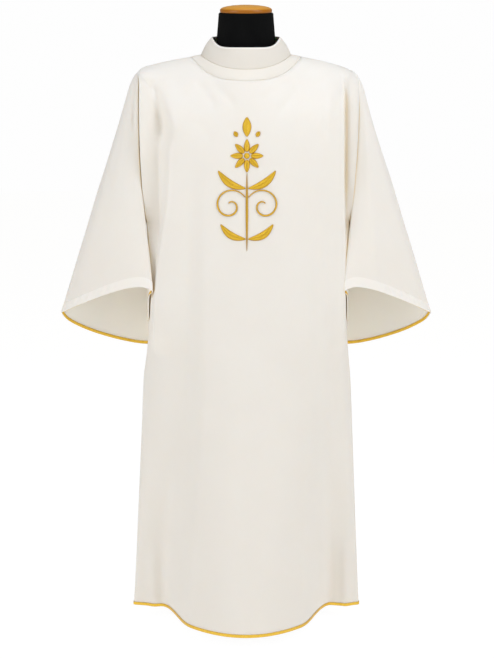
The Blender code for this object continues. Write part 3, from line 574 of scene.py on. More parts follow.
ivoryCloth = {
    "colour": (0.88, 0.829, 0.752),
    "shade": (0.82, 0.765, 0.682),
    "hem": (0.915, 0.866, 0.795),
    # collar and band: darker tones, painted shade for the lesser light that falls on the collar and on the
    # band under it
    "collar": (0.775, 0.718, 0.63),
    "collarShade": (0.725, 0.664, 0.572),
    "band": (0.865, 0.805, 0.715),
    "bandShade": (0.8, 0.738, 0.642),
    # inside faces: painted lighter and warmer than the outside, painted light for the warm light that
    # bounces inside the sleeves and collar
    "paintedLightInside": (0.985, 0.937, 0.857),
    "paintedLightInsideShade": (0.955, 0.9, 0.815),
    # crease: the colour of the painted shade in creases and between close layers
    "crease": (0.86, 0.66, 0.33),
    "creaseReach": 0.013,
    "creaseRange": (0.56, 0.08),  # how open the cloth lies, from no tint to all of it
    "creaseSamples": 6,
    "hemWidth": 0.022,
    "twill": {"Pitch": 0.0009, "Slub": 0.6},
    "toneSize": 0.11,
    "yarnShare": 0.35,
    "toneShare": 0.55,
    "hemShare": 0.75,
    "stitchHeight": 2.0,
    "bump": (0.25, 0.00012),
    # some light passes through the thin cloth
    "surface": {
        "Roughness": 0.82,
        "Sheen Weight": 0.12,
        "Sheen Roughness": 0.5,
        "Specular IOR Level": 0.25,
        "Subsurface Weight": 0.35,
        "Subsurface Scale": 0.0015,
        "Subsurface Radius": (1.0, 0.85, 0.7),
    },
}


def makeIvory(name, part, shade, hemmed=False):
    material, tree, sockets = newFinish(name, ivoryCloth["surface"])
    twill = placeGroup(tree, "twill", **ivoryCloth["twill"])
    tone = placeGroup(tree, "tone", Size=ivoryCloth["toneSize"])
    yarn = times(tree, twill["Yarn"], ivoryCloth["yarnShare"])
    uneven = plus(tree, yarn, times(tree, tone["Tone"], ivoryCloth["toneShare"]))
    colour = mixColour(tree, uneven, ivoryCloth[part], ivoryCloth[shade])
    height = twill["Height"]
    if hemmed:
        hem = placeGroup(tree, "hem", Width=ivoryCloth["hemWidth"])
        doubled = times(tree, hem["Doubled"], ivoryCloth["hemShare"])
        colour = mixColour(tree, doubled, colour, ivoryCloth["hem"])
        height = plus(tree, height, times(tree, hem["Stitches"], ivoryCloth["stitchHeight"]))
    # painted warm shade: where two layers lie close together the colour turns darker and warmer, standing
    # in for the light that goes from one to the other
    reach, samples = ivoryCloth["creaseReach"], ivoryCloth["creaseSamples"]
    room = addNode(tree, "AmbientOcclusion", {"Distance": reach}, samples=samples).outputs["AO"]
    wide, tight = ivoryCloth["creaseRange"]
    paintedWarmShade = addNode(tree, "MapRange", {"Value": room, "From Min": wide, "From Max": tight})
    colour = mixColour(tree, paintedWarmShade.outputs["Result"], colour, ivoryCloth["crease"])
    colourAndBump(tree, sockets, colour, height, ivoryCloth["bump"])
    return material


goldThread = {
    # rim: how strongly each pad takes the deep colour as it turns from view, painted shade on its edges
    "satin": {"colour": (1.0, 0.63, 0.035), "thread": 0.0006, "lean": 0.8, "rim": 2.0},
    "cord": {"colour": (1.0, 0.64, 0.06), "thread": 0.0018, "lean": 0.0, "rim": 0.5},
    # deep: the colour of the painted shade at the pads' edges and in the grooves between threads
    "deep": (0.52, 0.225, 0.004),
    "strandShare": 0.6,
    "grooveShadeShare": -0.25,
    "rounding": 0.4,
    "bump": (0.8, 0.0004),
    "surface": {"Roughness": 0.3, "Metallic": 0.35, "Anisotropic": 0.3},
}


def makeGold(name, kind):
    gold = goldThread[kind]
    material, tree, sockets = newFinish(name, goldThread["surface"])
    satin = placeGroup(tree, "satin", Thread=gold["thread"], Lean=gold["lean"])
    strand = times(tree, satin["Strand"], goldThread["strandShare"])
    # the grooves between threads take more of the deep colour, painted shade
    share = plus(tree, strand, times(tree, satin["Height"], goldThread["grooveShadeShare"]))
    threads = mixColour(tree, share, gold["colour"], goldThread["deep"])
    # towards the edges that turn from view the colour goes to the deep tone, painted shade
    facing = addNode(tree, "LayerWeight", {"Blend": goldThread["rounding"]}).outputs["Facing"]
    colour = mixColour(tree, times(tree, facing, gold["rim"]), threads, goldThread["deep"])
    colourAndBump(tree, sockets, colour, satin["Height"], goldThread["bump"])
    return material


blackJersey = {
    "colours": ((0.0014, 0.0014, 0.0014), (0.005, 0.005, 0.0048)),
    "twill": {"Pitch": 0.0012, "Slub": 0.3},
    "toneSize": 0.05,
    "bump": (0.35, 0.0002),
    "surface": {"Roughness": 0.9, "Specular IOR Level": 0.08},
}


def makeJersey():
    material, tree, sockets = newFinish("blackJersey", blackJersey["surface"])
    twill = placeGroup(tree, "twill", **blackJersey["twill"])
    tone = placeGroup(tree, "tone", Size=blackJersey["toneSize"])
    colour = mixColour(tree, tone["Tone"], *blackJersey["colours"])
    colourAndBump(tree, sockets, colour, twill["Height"], blackJersey["bump"])
    return material


honeyWood = {
    "light": (0.85, 0.405, 0.046),
    "dark": (0.65, 0.258, 0.013),
    # edge: the colour of the painted shade on the cap's sides
    "edge": (0.36, 0.115, 0.001),
    "sideShadeShare": 1.6,
    "grain": (14, 160, 90),
    "rings": {"Scale": 0.35, "Distortion": 5.0, "Detail": 3.0},
    "ringShare": 0.45,
    "fine": (2.6, 4.0, 0.6),
    "fineShare": 0.4,
    "bump": (0.12, 0.0003),
    "surface": {
        "Roughness": 0.38,
        "Specular IOR Level": 0.25,
        "Coat Weight": 0.2,
        "Coat Roughness": 0.14,
    },
}


def makeWood():
    # long grain across the cap's dome, with painted shade: darker where the surface turns from facing up to
    # facing sideways
    material, tree, sockets = newFinish("honeyWood", honeyWood["surface"])
    where = addNode(tree, "TexCoord").outputs["Object"]
    grain = addNode(tree, "Mapping", {"Scale": honeyWood["grain"], "Vector": where}).outputs[0]
    rings = addNode(tree, "TexWave", {"Vector": grain, **honeyWood["rings"]}, bands_direction="Y")
    rings = times(tree, rings.outputs["Fac"], honeyWood["ringShare"])
    fine = noiseOf(tree, grain, *honeyWood["fine"])
    share = plus(tree, rings, times(tree, fine, honeyWood["fineShare"]))
    wood = mixColour(tree, share, honeyWood["light"], honeyWood["dark"])
    # the less the surface faces up, the more of the edge colour, painted shade
    normal = addNode(tree, "NewGeometry").outputs["Normal"]
    up = addNode(tree, "SeparateXYZ", {0: normal}).outputs[2]
    strength = honeyWood["sideShadeShare"]
    side = mathNode(tree, "SUBTRACT", strength, times(tree, up, strength))
    colour = mixColour(tree, side, wood, honeyWood["edge"])
    colourAndBump(tree, sockets, colour, fine, honeyWood["bump"])
    return material


blackSteel = {
    "colours": ((0.012, 0.012, 0.013), (0.03, 0.03, 0.031)),
    "wear": (18.0, 4.0),
    "speck": (900.0, 3.0),
    "bump": (0.2, 0.0002),
    "surface": {"Roughness": 0.45},
}


def makeSteel():
    material, tree, sockets = newFinish("blackSteel", blackSteel["surface"])
    where = addNode(tree, "TexCoord").outputs["Object"]
    colour = mixColour(tree, noiseOf(tree, where, *blackSteel["wear"]), *blackSteel["colours"])
    speck = noiseOf(tree, where, *blackSteel["speck"])
    colourAndBump(tree, sockets, colour, speck, blackSteel["bump"])
    return material


finishes = {
    "cloth": makeIvory("ivoryTwill", "colour", "shade"),
    "hemmedCloth": makeIvory("ivoryTwillHemmed", "colour", "shade", hemmed=True),
    # the collar and the band are painted darker than the body cloth, painted shade
    "collar": makeIvory("ivoryTwillCollarPaintedShade", "collar", "collarShade"),
    "band": makeIvory("ivoryTwillBandPaintedShade", "band", "bandShade"),
    # the inside faces carry painted light, lighter and warmer than the outside
    "clothInside": makeIvory("ivoryTwillInside", "paintedLightInside", "paintedLightInsideShade"),
    "satin": makeGold("goldSatinStitch", "satin"),
    "cord": makeGold("goldCord", "cord"),
    "jersey": makeJersey(),
    "wood": makeWood(),
    "steel": makeSteel(),
}
print("materials made")

front, frontNormals, back, backNormals = bodySurface()
bothFaces = finishes["cloth"], finishes["clothInside"]
frontCloth = settle(clothWall("frontCloth", front, frontNormals, bothFaces), "ivory_cloth", "front")
backCloth = settle(clothWall("backCloth", back, backNormals, bothFaces, flip=True), "ivory_cloth", "back")
print("front and back draped")

# The sleeves hang almost flat. x is the distance from the centre; front folds, back folds and
# the inner wall differ a little from left to right.
sleeveCut = {
    "names": ("z", "outer", "leftFold", "rightFold", "foldY", "leftBack", "rightBack", "backY",
              "leftInner", "rightInner", "bulge"),
    "levels": (
        (1.268, 0.2335, 0.2335, 0.229, 0.0, 0.2335, 0.229, 0.0, 0.224, 0.232, 2.0),
        (1.26, 0.2425, 0.2335, 0.235, 0.03, 0.2335, 0.235, 0.03, 0.224, 0.232, 2.0),
        (1.239, 0.254, 0.2312, 0.242, 0.06, 0.2325, 0.242, 0.06, 0.224, 0.232, 2.0),
        (1.2, 0.2665, 0.2312, 0.244, 0.07, 0.233, 0.244, 0.076, 0.224, 0.232, 2.3),
        (1.11, 0.295, 0.2303, 0.2408, 0.081, 0.2325, 0.2415, 0.086, 0.224, 0.232, 2.4),
        (1.033, 0.32, 0.2262, 0.2345, 0.092, 0.2335, 0.238, 0.09, 0.224, 0.232, 2.2),
        (0.928, 0.354, 0.2155, 0.2245, 0.099, 0.229, 0.236, 0.093, 0.223, 0.231, 1.9),
        (0.868, 0.3736, 0.209, 0.218, 0.106, 0.2262, 0.2335, 0.095, 0.2218, 0.23, 1.7),
        (0.8, 0.3956, 0.2038, 0.2142, 0.112, 0.225, 0.2325, 0.097, 0.2212, 0.2296, 1.45),
        (0.729, 0.4183, 0.2038, 0.2142, 0.114, 0.225, 0.2325, 0.099, 0.2212, 0.2296, 1.4),
        (0.635, 0.449, 0.2038, 0.2142, 0.114, 0.225, 0.2325, 0.1, 0.2212, 0.2296, 1.4),
    ),
    # points round half a sleeve: share of the face, cuff height in front and behind, steps
    "roundNames": ("place", "face", "frontCuff", "backCuff", "steps"),
    "round": (
        ("seam", 0.0, 0.71, 0.71, 1),
        ("lip", 0.0, 0.718, 0.702, 2),
        ("inside", 0.0, 0.752, 0.672, 1),
        ("beforeFold", 0.0, 0.785, 0.642, 1),
        ("fold", 0.0, 0.795, 0.6365, 1),
        ("face", 0.06, 0.8035, 0.636, 1),
        ("face", 0.19, 0.8055, 0.641, 2),
        ("face", 0.42, 0.7935, 0.656, 2),
        ("face", 0.68, 0.77, 0.679, 2),
        ("face", 0.9, 0.744, 0.706, 1),
        ("outer", 1.0, 0.729, 0.729, 0),
    ),
    "density": 7,  # points for each step of the round
    "rows": (44, 54, 22),  # down the armhole, under the arm and in the hem
    "hemFrom": 0.9,
    "fullDepth": 0.08,  # a fold this deep has the whole lip and bow
    "lip": 0.0012,
    "lipDepth": 0.004,
    "lipGrowth": 3,  # how many times its depth the lip gains towards the cuff
    "lipLean": 0.12,
    "innerBy": 0.3,  # share of the seam under the arm where it reaches the inner wall
    "bow": 0.001,
    "foldBow": 0.3,
    "inside": 0.5,  # shares of the run from the lip to the fold
    "beforeFold": 0.15,
    "tuck": 0.3,  # how much further in the front's inner side runs at the cuff
    "foldDepth": 0.014,
    "foldRound": 0.0025,
    "faceFrom": (3.5, 6.0),  # steps from the seam
    "seamFade": 0.4,
    "topFade": 5,  # rows
    "cuffFade": 0.003,
    "hemRaise": 0.0006,
    "hemEdge": 0.001,
    "hemTrough": (0.0006, 0.0006, 0.0011),  # depth, place above the hem and width
    # small puckers in the hem: share of the way to the outer edge, and strength
    "puckers": (
        (0.42, 0.4), (0.5, 0.7), (0.58, 1.0), (0.655, 0.7), (0.73, 1.0), (0.81, 0.8), (0.88, 0.5),
    ),
    "pucker": {
        "raise": 0.002,
        "width": 0.018,
        "trough": (0.4, 2),  # share of the ridge, and how many widths past it
        "up": 0.013,
        "tall": 0.011,
        "lean": 0.25,
        "shift": {"left": 0.0, "right": 0.02},
        "from": {"left": 0.2038, "right": 0.2142},
        "backFrom": 0.225,
    },
    "creaseNames": ("hand", "face", "topX", "topZ", "lowX", "lowZ", "width", "depth"),
    "creases": (
        ("left", "front", 0.2505, 1.165, 0.284, 0.84, 0.017, -0.0014),
        ("left", "front", 0.273, 1.145, 0.33, 0.79, 0.02, -0.0022),
        ("left", "front", 0.2445, 1.25, 0.2425, 1.15, 0.0036, -0.0042),
        ("left", "front", 0.38, 0.86, 0.404, 0.76, 0.018, -0.002),
        ("right", "front", 0.248, 1.22, 0.289, 0.8, 0.014, 0.0016),
        ("right", "front", 0.268, 1.18, 0.33, 0.8, 0.022, -0.0024),
        ("right", "front", 0.35, 0.98, 0.392, 0.76, 0.018, 0.002),
        ("left", "back", 0.262, 1.15, 0.296, 0.8, 0.018, -0.004),
        ("left", "back", 0.306, 1.02, 0.362, 0.76, 0.02, 0.003),
        ("right", "back", 0.266, 1.16, 0.308, 0.78, 0.018, -0.004),
        ("right", "back", 0.3, 1.06, 0.372, 0.76, 0.02, 0.0026),
    ),
}


def sleeveRows():
    # down the armhole, then along the seam under the arm, with closer rows in the hem
    tip, armpit = bodyCut["alongTip"], bodyCut["alongArmpit"]
    armhole, upper, hem = sleeveCut["rows"]
    hemFrom = sleeveCut["hemFrom"]
    under = [*np.linspace(0, hemFrom, upper + 1)[1:], *np.linspace(hemFrom, 1, hem + 1)[1:]]
    down = np.linspace(tip, armpit, armhole + 1)
    return [*((along, 0.0) for along in down), *((armpit, share) for share in under)]


def sleeveHalf(along, under, side, isBack):
    # one row of the front or the back, from the seam round the fold to the outer edge
    hand = "left" if side < 0 else "right"
    cuff, fold, depth = ("backCuff", "Back", "backY") if isBack else ("frontCuff", "Fold", "foldY")
    spots = rowsOf(sleeveCut, "roundNames", "round")
    edgeY, edgeZ = (float(value) for value in armholeAt(along, side < 0))
    top, seamCuff = bodyCut["shoulderTop"], spots[0][cuff]
    seamZ = edgeZ + (seamCuff - edgeZ) * under
    armX = float(levelOf(bodyCut, hand, along)) + bodyCut["seamGap"] / 2
    innerX = float(levelOf(sleeveCut, hand + "Inner", seamZ))
    seamX = armX + (innerX - armX) * float(ease(0, sleeveCut["innerBy"], under))
    seamY = edgeY if under == 0 else 0.0
    down = (top - seamZ) / (top - seamCuff)
    heights = np.array([top - down * (top - spot[cuff]) for spot in spots])
    sizes = (levelOf(sleeveCut, name, heights) for name in ("outer", hand + fold, depth, "bulge"))
    tuck = 0 if isBack else sleeveCut["tuck"] * under
    controls = []
    for spot, z, outer, foldX, foldY, bulge in zip(spots, heights, *sizes):
        size = min(foldY / sleeveCut["fullDepth"], 1.0)
        bow = sleeveCut["bow"] * size * (1 - under)
        lipX = seamX + sleeveCut["lip"] * size * (1 - under)
        lipY = seamY + sleeveCut["lipDepth"] * size * (1 + sleeveCut["lipGrowth"] * under)
        run = foldX - lipX
        lipX += sleeveCut["lipLean"] * run * under
        beforeFoldY = foldY - sleeveCut["foldDepth"] * size
        if spot["place"] == "seam":
            x, y, z = seamX, seamY, seamZ
        elif spot["place"] == "lip":
            x, y = lipX, lipY
        elif spot["place"] == "inside":
            x, y = lipX + (sleeveCut["inside"] - tuck) * run + bow, (lipY + beforeFoldY) / 2
        elif spot["place"] == "beforeFold":
            x, y = foldX - (sleeveCut["beforeFold"] + tuck) * run + bow, beforeFoldY
        elif spot["place"] == "fold":
            x, y = foldX + sleeveCut["foldBow"] * bow, foldY - sleeveCut["foldRound"] * size
        else:
            x = foldX + (outer - foldX) * spot["face"]
            y = foldY * max(1 - spot["face"] ** bulge, 0) ** (1 / bulge)
        controls.append(np.array([side * x, y if isBack else -y, z]))
    return curveThrough(controls, [spot["steps"] * sleeveCut["density"] for spot in spots[:-1]])


def sleeveSurface(side):
    rows = sleeveRows()
    halves = [[sleeveHalf(*row, side, isBack) for isBack in (False, True)] for row in rows]
    grid = np.array([np.concatenate([before, behind[::-1][1:]]) for before, behind in halves])
    grid[0] = grid[0, 0]
    normals = gridNormals(grid) * side
    for r, (along, under) in enumerate(rows):
        if under == 0:
            normals[r, 0], normals[r, -1] = (armholeNormal(along, side < 0, sign) for sign in (-1, 1))
        else:
            normals[r, 0] = normals[r, -1] = unit(normals[r, 0] + normals[r, -1])
    normals[0] = (0, 0, 1)
    return grid, normals


def dressSleeve(grid, normals, hand):
    # creases move the whole wall, the doubled hem and its puckers only the outside
    places = placesOnCloth(grid)
    up, reach, z = places[..., 1], np.abs(grid[..., 0]), grid[..., 2]
    columns = np.arange(grid.shape[1])
    isBack = columns >= grid.shape[1] // 2
    edge = np.minimum(columns, columns[::-1]) / sleeveCut["density"]
    faceOnly = ease(*sleeveCut["faceFrom"], edge)
    crease = np.zeros(grid.shape[:2])
    for row in rowsOf(sleeveCut, "creaseNames", "creases"):
        if row["hand"] == hand:
            onFace = isBack == (row["face"] == "back")
            crease += creaseDepth(row, reach, z) * onFace * faceOnly
    width, soft, pucker = ivoryCloth["hemWidth"], sleeveCut["hemEdge"], sleeveCut["pucker"]
    trough, below, broad = sleeveCut["hemTrough"]
    dip, beyond = pucker["trough"]
    hem = sleeveCut["hemRaise"] * (1 - ease(width - soft, width + soft, up))
    hem -= trough * np.exp(-(((up - width - below) / broad) ** 2))
    inner = np.where(isBack, pucker["backFrom"], pucker["from"][hand])
    share = (reach - inner) / (levelOf(sleeveCut, "outer", z) - inner) + pucker["lean"] * up
    high = np.exp(-(((up - pucker["up"]) / pucker["tall"]) ** 2)) * faceOnly
    high = high * ease(0, sleeveCut["cuffFade"], up)
    for at, strength in sleeveCut["puckers"]:
        past = (share - at - pucker["shift"][hand]) / pucker["width"]
        ridge = np.exp(-(past ** 2)) - dip * np.exp(-((past - beyond) ** 2))
        hem += pucker["raise"] * strength * ridge * high
    seam = 1 - np.exp(-((edge / sleeveCut["seamFade"]) ** 2))
    top = ease(0, sleeveCut["topFade"], np.arange(grid.shape[0]))[:, None]
    creased = grid + normals * (crease * seam * top)[..., None]
    return creased, creased + normals * (hem * seam * top)[..., None], places


sleeves = {}
for hand, side in hands.items():
    grid, normals = sleeveSurface(side)
    creased, dressed, places = dressSleeve(grid, normals, hand)
    cloth = clothWall(
        "sleeve" + hand.title() + "Cloth", dressed, normals,
        (finishes["hemmedCloth"], finishes["clothInside"]), flip=side < 0, places=places, under=creased,
    )
    sleeves[hand] = creased, normals, settle(cloth, "ivory_cloth", "sleeve_" + hand)
print("sleeves hung")

braid = {
    "height": 0.0074,
    "wall": 0.0013,
    "seat": 0.0003,
    "cuffHeight": 0.0071,
    "cuffWall": 0.0019,
    "turnedUnder": 0.07,  # share of the cuff braid that shows along the inner wall
    "fullFrom": (3.7, 4.7),  # steps of the sleeve's round, from the seam
    "steps": 12,
    "spread": 0.98,
    "groove": 0.28,
    "sharpest": -0.2,  # limit for the mitre of a corner
}


def makeCord(name, path, up, out, height, wall):
    # a narrow braid: two round cords side by side on a flat back
    turns = np.linspace(0, 2 * math.pi, braid["steps"], endpoint=False)
    across = 0.5 + 0.5 * np.cos(turns) * braid["spread"]
    thick = 0.5 + 0.5 * np.sin(turns) * (1 - braid["groove"] * np.cos(turns * 2 + math.pi) ** 2)
    high = np.broadcast_to(height, len(path))[:, None] * across
    deep = np.broadcast_to(wall, len(path))[:, None] * thick
    ring = path[:, None] + up[:, None] * high[..., None] + out[:, None] * deep[..., None]
    places = np.stack([high, np.broadcast_to(lengthAlong(path)[:, None], high.shape)], axis=-1)
    faces = gridFaces(*high.shape, closed=True, looped=True)[:, [0, 3, 2, 1]]
    return makeMesh(name, ring, faces.tolist(), places, (finishes["cord"],))


def ringMitres(ring):
    # level directions away from the ring, longer at its corners
    along = unit(np.roll(ring, -1, axis=0)[:, :2] - ring[:, :2])
    out = np.stack([along[:, 1], -along[:, 0]], axis=1)
    before = np.roll(out, 1, axis=0)
    corner = np.maximum((out * before).sum(axis=1, keepdims=True), braid["sharpest"])
    return np.concatenate([(out + before) / (1 + corner), np.zeros((len(ring), 1))], axis=1)


hemRing, hemAbove = (np.concatenate([front[row], back[row, ::-1]]) for row in (-1, -2))
hemOut = ringMitres(hemRing)
seat, hemUp = hemRing + hemOut * braid["seat"], unit(hemAbove - hemRing)
hemBraid = makeCord("hemGoldBraid", seat, hemUp, hemOut, braid["height"], braid["wall"])
settle(hemBraid, "gold_thread", "hem_braid")
for hand, (grid, normals, cloth) in sleeves.items():
    out = -normals[-1, :-1]
    inside = grid[-1, :-1] + out * (bodyCut["wall"] + bodyCut["seamGap"])
    up = unit(grid[-3, :-1] - grid[-1, :-1])
    steps = np.arange(len(inside))
    fromSeam = np.minimum(steps, len(inside) - steps) / sleeveCut["density"]
    # it is turned under along the inner wall, so that little of it shows there
    full = braid["turnedUnder"] + (1 - braid["turnedUnder"]) * ease(*braid["fullFrom"], fromSeam)
    height, wall = braid["cuffHeight"] * full, braid["cuffWall"] * full
    cuffBraid = makeCord("cuffGoldBraid" + hand.title(), inside, up, out, height, wall)
    settle(cuffBraid, "gold_thread", "cuff_braid_" + hand)
print("braid sewn on")

neck = {
    "names": ("share", "side", "frontY", "backY", "sideZ", "frontZ", "backZ"),
    "levels": (
        (0.0, 0.0748, 0.076, 0.078, 1.3405, 1.3186, 1.3415),
        (0.5, 0.088, 0.0872, 0.0835, 1.3225, 1.297, 1.326),
        (1.0, 0.0985, 0.0955, 0.088, 1.302, 1.2736, 1.3065),
    ),
    "rise": 2.5,
    "steeper": (4.6, 1.5),  # added to the rise at the top, and how soon it fades
    "wall": 0.003,
    "rows": 26,
    "puff": 0.0006,
    "rollSteps": 6,
    "rollHeight": 0.8,
    # from here up the roll the plain cloth colour is used, not the collar's painted shade
    "plainColourFrom": 2,  # steps up the roll from the inside, where the single cloth starts
    "bandRows": 14,
    "bandClear": 0.00004,
    "bandPuff": 0.0009,
    "bandPuffSpan": (0.08, 0.98),
    "bandLine": 0.86,  # share of the band's width where it is stitched down
    "bandDent": 0.0002,
    "bandDentWidth": 0.05,
}
edge = np.concatenate([front[0], back[0, ::-1][1:-1]])
edgeNormals = np.concatenate([frontNormals[0], backNormals[0, ::-1][1:-1]])
neckTurns = np.radians(-90 + np.arange(len(edge)) * 360 / len(edge))


def neckRing(share):
    side, *sizes = (float(levelOf(neck, name, share)) for name in neck["names"][1:])
    steeper, power = neck["steeper"]
    return ovalRing(neckTurns, neck["rise"] + steeper * (1 - share) ** power, side, side, *sizes)


shares = np.linspace(0, 1, neck["rows"])
rings = np.array([neckRing(share) for share in shares])
ringNormals = gridNormals(rings, closed=True)
# the collar stands a little proud of its foot seam and is rolled over at the top
rings = rings + ringNormals * (neck["puff"] * np.sin(math.pi * shares) ** 0.5)[:, None, None]
half = neck["wall"] / 2
topOut, topUp = ringNormals[0] * half, unit(rings[0] - rings[1]) * half * neck["rollHeight"]
rollTurns = np.linspace(math.pi, 0, neck["rollSteps"] + 2)[1:-1]
rolled = [rings[0] - topOut + topOut * math.cos(turn) + topUp * math.sin(turn) for turn in rollTurns]
inner = rings - ringNormals * neck["wall"]
profile = np.array([*inner[::-1], *rolled, *rings])
# the rolled edge keeps the plain cloth colour, lighter than the painted shade of the collar below it
rollFrom = neck["rows"] + neck["plainColourFrom"]
profileRows = np.arange(len(profile))
kinds = np.where(profileRows < rollFrom, 1, np.where(profileRows < rollFrom + neck["rollSteps"], 2, 0))
collar = makeMesh(
    "standCollar", profile, gridFaces(len(profile), len(edge), closed=True, looped=True).tolist(),
    placesOnCloth(profile), (finishes["collar"], finishes["clothInside"], finishes["cloth"]),
    np.repeat(kinds, len(edge)),
)
settle(collar, "ivory_cloth", "collar")

foot = neckRing(1.0)
way = unit(edge - foot)
bandTop, bandFoot = foot + way * bodyCut["seamGap"], edge - way * neck["bandClear"]
bandShares = np.linspace(0, 1, neck["bandRows"])
band = np.array([bandTop + (bandFoot - bandTop) * share for share in bandShares])
bandNormals = gridNormals(band, closed=True)
bandNormals[-1] = edgeNormals
puffFrom, puffTo = neck["bandPuffSpan"]
bandPuff = neck["bandPuff"] * np.sin(math.pi * (puffFrom + (puffTo - puffFrom) * bandShares)) ** 0.5
bandPuff -= neck["bandDent"] * np.exp(-(((bandShares - neck["bandLine"]) / neck["bandDentWidth"]) ** 2))
band = band + bandNormals * bandPuff[:, None, None]
bandFaces = finishes["band"], finishes["clothInside"]
neckBand = clothWall("neckBandCloth", band, bandNormals, bandFaces, closed=True)
settle(neckBand, "ivory_cloth", "neck_band")
print("collar and band set")

stitch = {
    "length": 0.0026,
    "pitch": 0.004,
    "radius": 0.00028,
    "sides": 5,
    "ahead": 0.001,
    # share of the length, then lift and thickness as shares of the radius
    "shape": ((0, -0.5, 0.4), (0.3, 0.7, 1), (0.7, 0.7, 1), (1, -0.5, 0.4)),
}


def makeStitches(name, path, normals):
    # short threads that dip into the cloth at both ends
    length = lengthAlong(path)
    radius, sides, levels = stitch["radius"], stitch["sides"], len(stitch["shape"])
    turns = np.linspace(0, 2 * math.pi, sides, endpoint=False)

    def alongPath(values, at):
        return np.array([np.interp(at, length, values[:, axis]) for axis in range(3)])

    points, faces = [], []
    for i in range(int(length[-1] / stitch["pitch"])):
        base = len(points)
        for share, lift, size in stitch["shape"]:
            at = (i + 0.5) * stitch["pitch"] + (share - 0.5) * stitch["length"]
            centre, normal = alongPath(path, at), unit(alongPath(normals, at))
            run = unit(alongPath(path, at + stitch["ahead"]) - centre + 1e-9)
            aside = np.cross(run, normal)
            for turn in turns:
                offset = (aside * math.cos(turn) + normal * math.sin(turn)) * radius * size
                points.append(centre + normal * lift * radius + offset)
        faces += (gridFaces(levels, sides, closed=True) + base).tolist()
        last = base + (levels - 1) * sides
        faces += [range(base, base + sides), range(last + sides - 1, last - 1, -1)]
    piece = makeMesh(name, np.array(points), faces, None, (finishes["cloth"],))
    return settle(piece, "ivory_cloth")


stitched = int(round(neck["bandLine"] * (neck["bandRows"] - 1)))
around = [*range(len(edge)), 0]
makeStitches("neckBandStitches", band[stitched][around], bandNormals[stitched][around])
print("stitches sewn")

spray = {
    "x": 0.002,
    "z": 1.033,
    "height": 0.003,
    "least": 0.12,  # share of the height that a pad keeps at its edge
    "dome": (2.4, 0.6),  # how square and how round its section is
    "rib": 0.52,  # groove along the middle of a leaf or petal
    "ribWidth": 0.16,
    "columns": 15,
    "fall": 1.25,  # height from the neckline to the hem
    "startAlong": 0.2,
    "rounds": 12,
    "step": 0.002,
    "leafNames": ("name", "pair", "baseX", "baseZ", "tipX", "tipZ", "bow", "width", "steps"),
    "leaves": (
        ("bud", False, 0.0, 0.1015, 0.0, 0.1415, 0.0, 0.019, 40),
        ("stem", False, 0.0, 0.024, 0.0, -0.1415, 0.0, 0.0052, 80),
        ("leaf_high", True, 0.0032, -0.008, 0.061, 0.029, 0.009, 0.0165, 60),
        ("leaf_low", True, 0.003, -0.116, 0.056, -0.085, 0.009, 0.0155, 60),
        ("berry", True, 0.02, 0.101, 0.027, 0.112, 0.0, 0.01, 20),
    ),
    "leafEnd": (0.03, 0.8),  # where the narrowing starts, and its power
    "flowerZ": 0.061,
    "petals": 8,
    "petal": (0.0085, 0.0345, 0.013),  # near and far end from the middle, and width
    "petalEnd": (0.04, 0.75),
    "petalLean": 0.75,
    "petalSteps": 30,
    "heart": 0.0062,
    "heartEnd": 0.0006,
    "heartColumns": 13,
    "heartSteps": 21,
    "tendrilMiddle": (0.036, -0.045),
    "tendrilRadii": (0.037, 0.006),
    "tendrilTurns": (150, -300),  # degrees
    "tendrilWidth": 0.0042,
    "tendrilEnd": 0.55,
    "tendrilColumns": 9,
    "tendrilSteps": 130,
}


def onFront(x, z):
    # the place and the normal of the front cloth at these distances across and up
    along = np.full_like(x, spray["startAlong"])
    for _ in range(spray["rounds"]):
        width = np.where(x < 0, levelOf(bodyCut, "left", along), levelOf(bodyCut, "right", along))
        turn = np.arcsin(np.clip(x / width, -1, 1))
        along = np.clip(along + (bodyPoint(along, turn, True)[..., 2] - z) / spray["fall"], 0, 1)
    step, point = spray["step"], bodyPoint(along, turn, True)
    right = bodyPoint(along, turn + step, True) - point
    down = bodyPoint(along + step, turn, True) - point
    return point, unit(np.cross(down, right))


def satinBand(middle, half, columns=spray["columns"], rib=spray["rib"]):
    # points and threads of a raised pad of stitches along a middle line
    way = unit(np.gradient(middle, axis=0))
    across = np.stack([way[:, 1], -way[:, 0]], axis=1)
    shares = np.linspace(-1, 1, columns)
    aside = half[:, None] * shares
    flat = middle[:, None] + across[:, None] * aside[..., None]
    (square, rounding), least = spray["dome"], spray["least"]
    dome = np.maximum(1 - np.abs(shares) ** square, 0) ** rounding
    dome = dome - rib * np.exp(-((shares / spray["ribWidth"]) ** 2))
    low = np.clip(half / half.max(), 0, 1) ** 0.5
    height = spray["height"] * (least + (1 - least) * dome * low[:, None])
    point, normal = onFront(spray["x"] + flat[..., 0], spray["z"] + flat[..., 1])
    inner = point + normal * (bodyCut["seamGap"] * 0.5)
    places = np.stack(np.broadcast_arrays(aside, lengthAlong(middle)[:, None]), axis=-1)
    return inner + normal * height[..., None], inner, places


def joinPads(name, pads):
    points, faces, places, count = [], [], [], 0
    for outer, inner, threads in pads:
        rows, columns = outer.shape[:2]
        faces += (wallFaces(gridFaces(rows, columns, flip=True), rows * columns)[0] + count).tolist()
        points += [outer.reshape(-1, 3), inner.reshape(-1, 3)]
        places += [threads.reshape(-1, 2)] * 2
        count += 2 * rows * columns
    piece = makeMesh(name, np.concatenate(points), faces, np.concatenate(places), (finishes["satin"],))
    return settle(piece, "gold_thread", name.replace("satin", "spray"))


def narrowing(share, end, power):
    # narrow at both ends and widest between them
    return np.sin(math.pi * (end + (1 - 2 * end) * share)) ** power


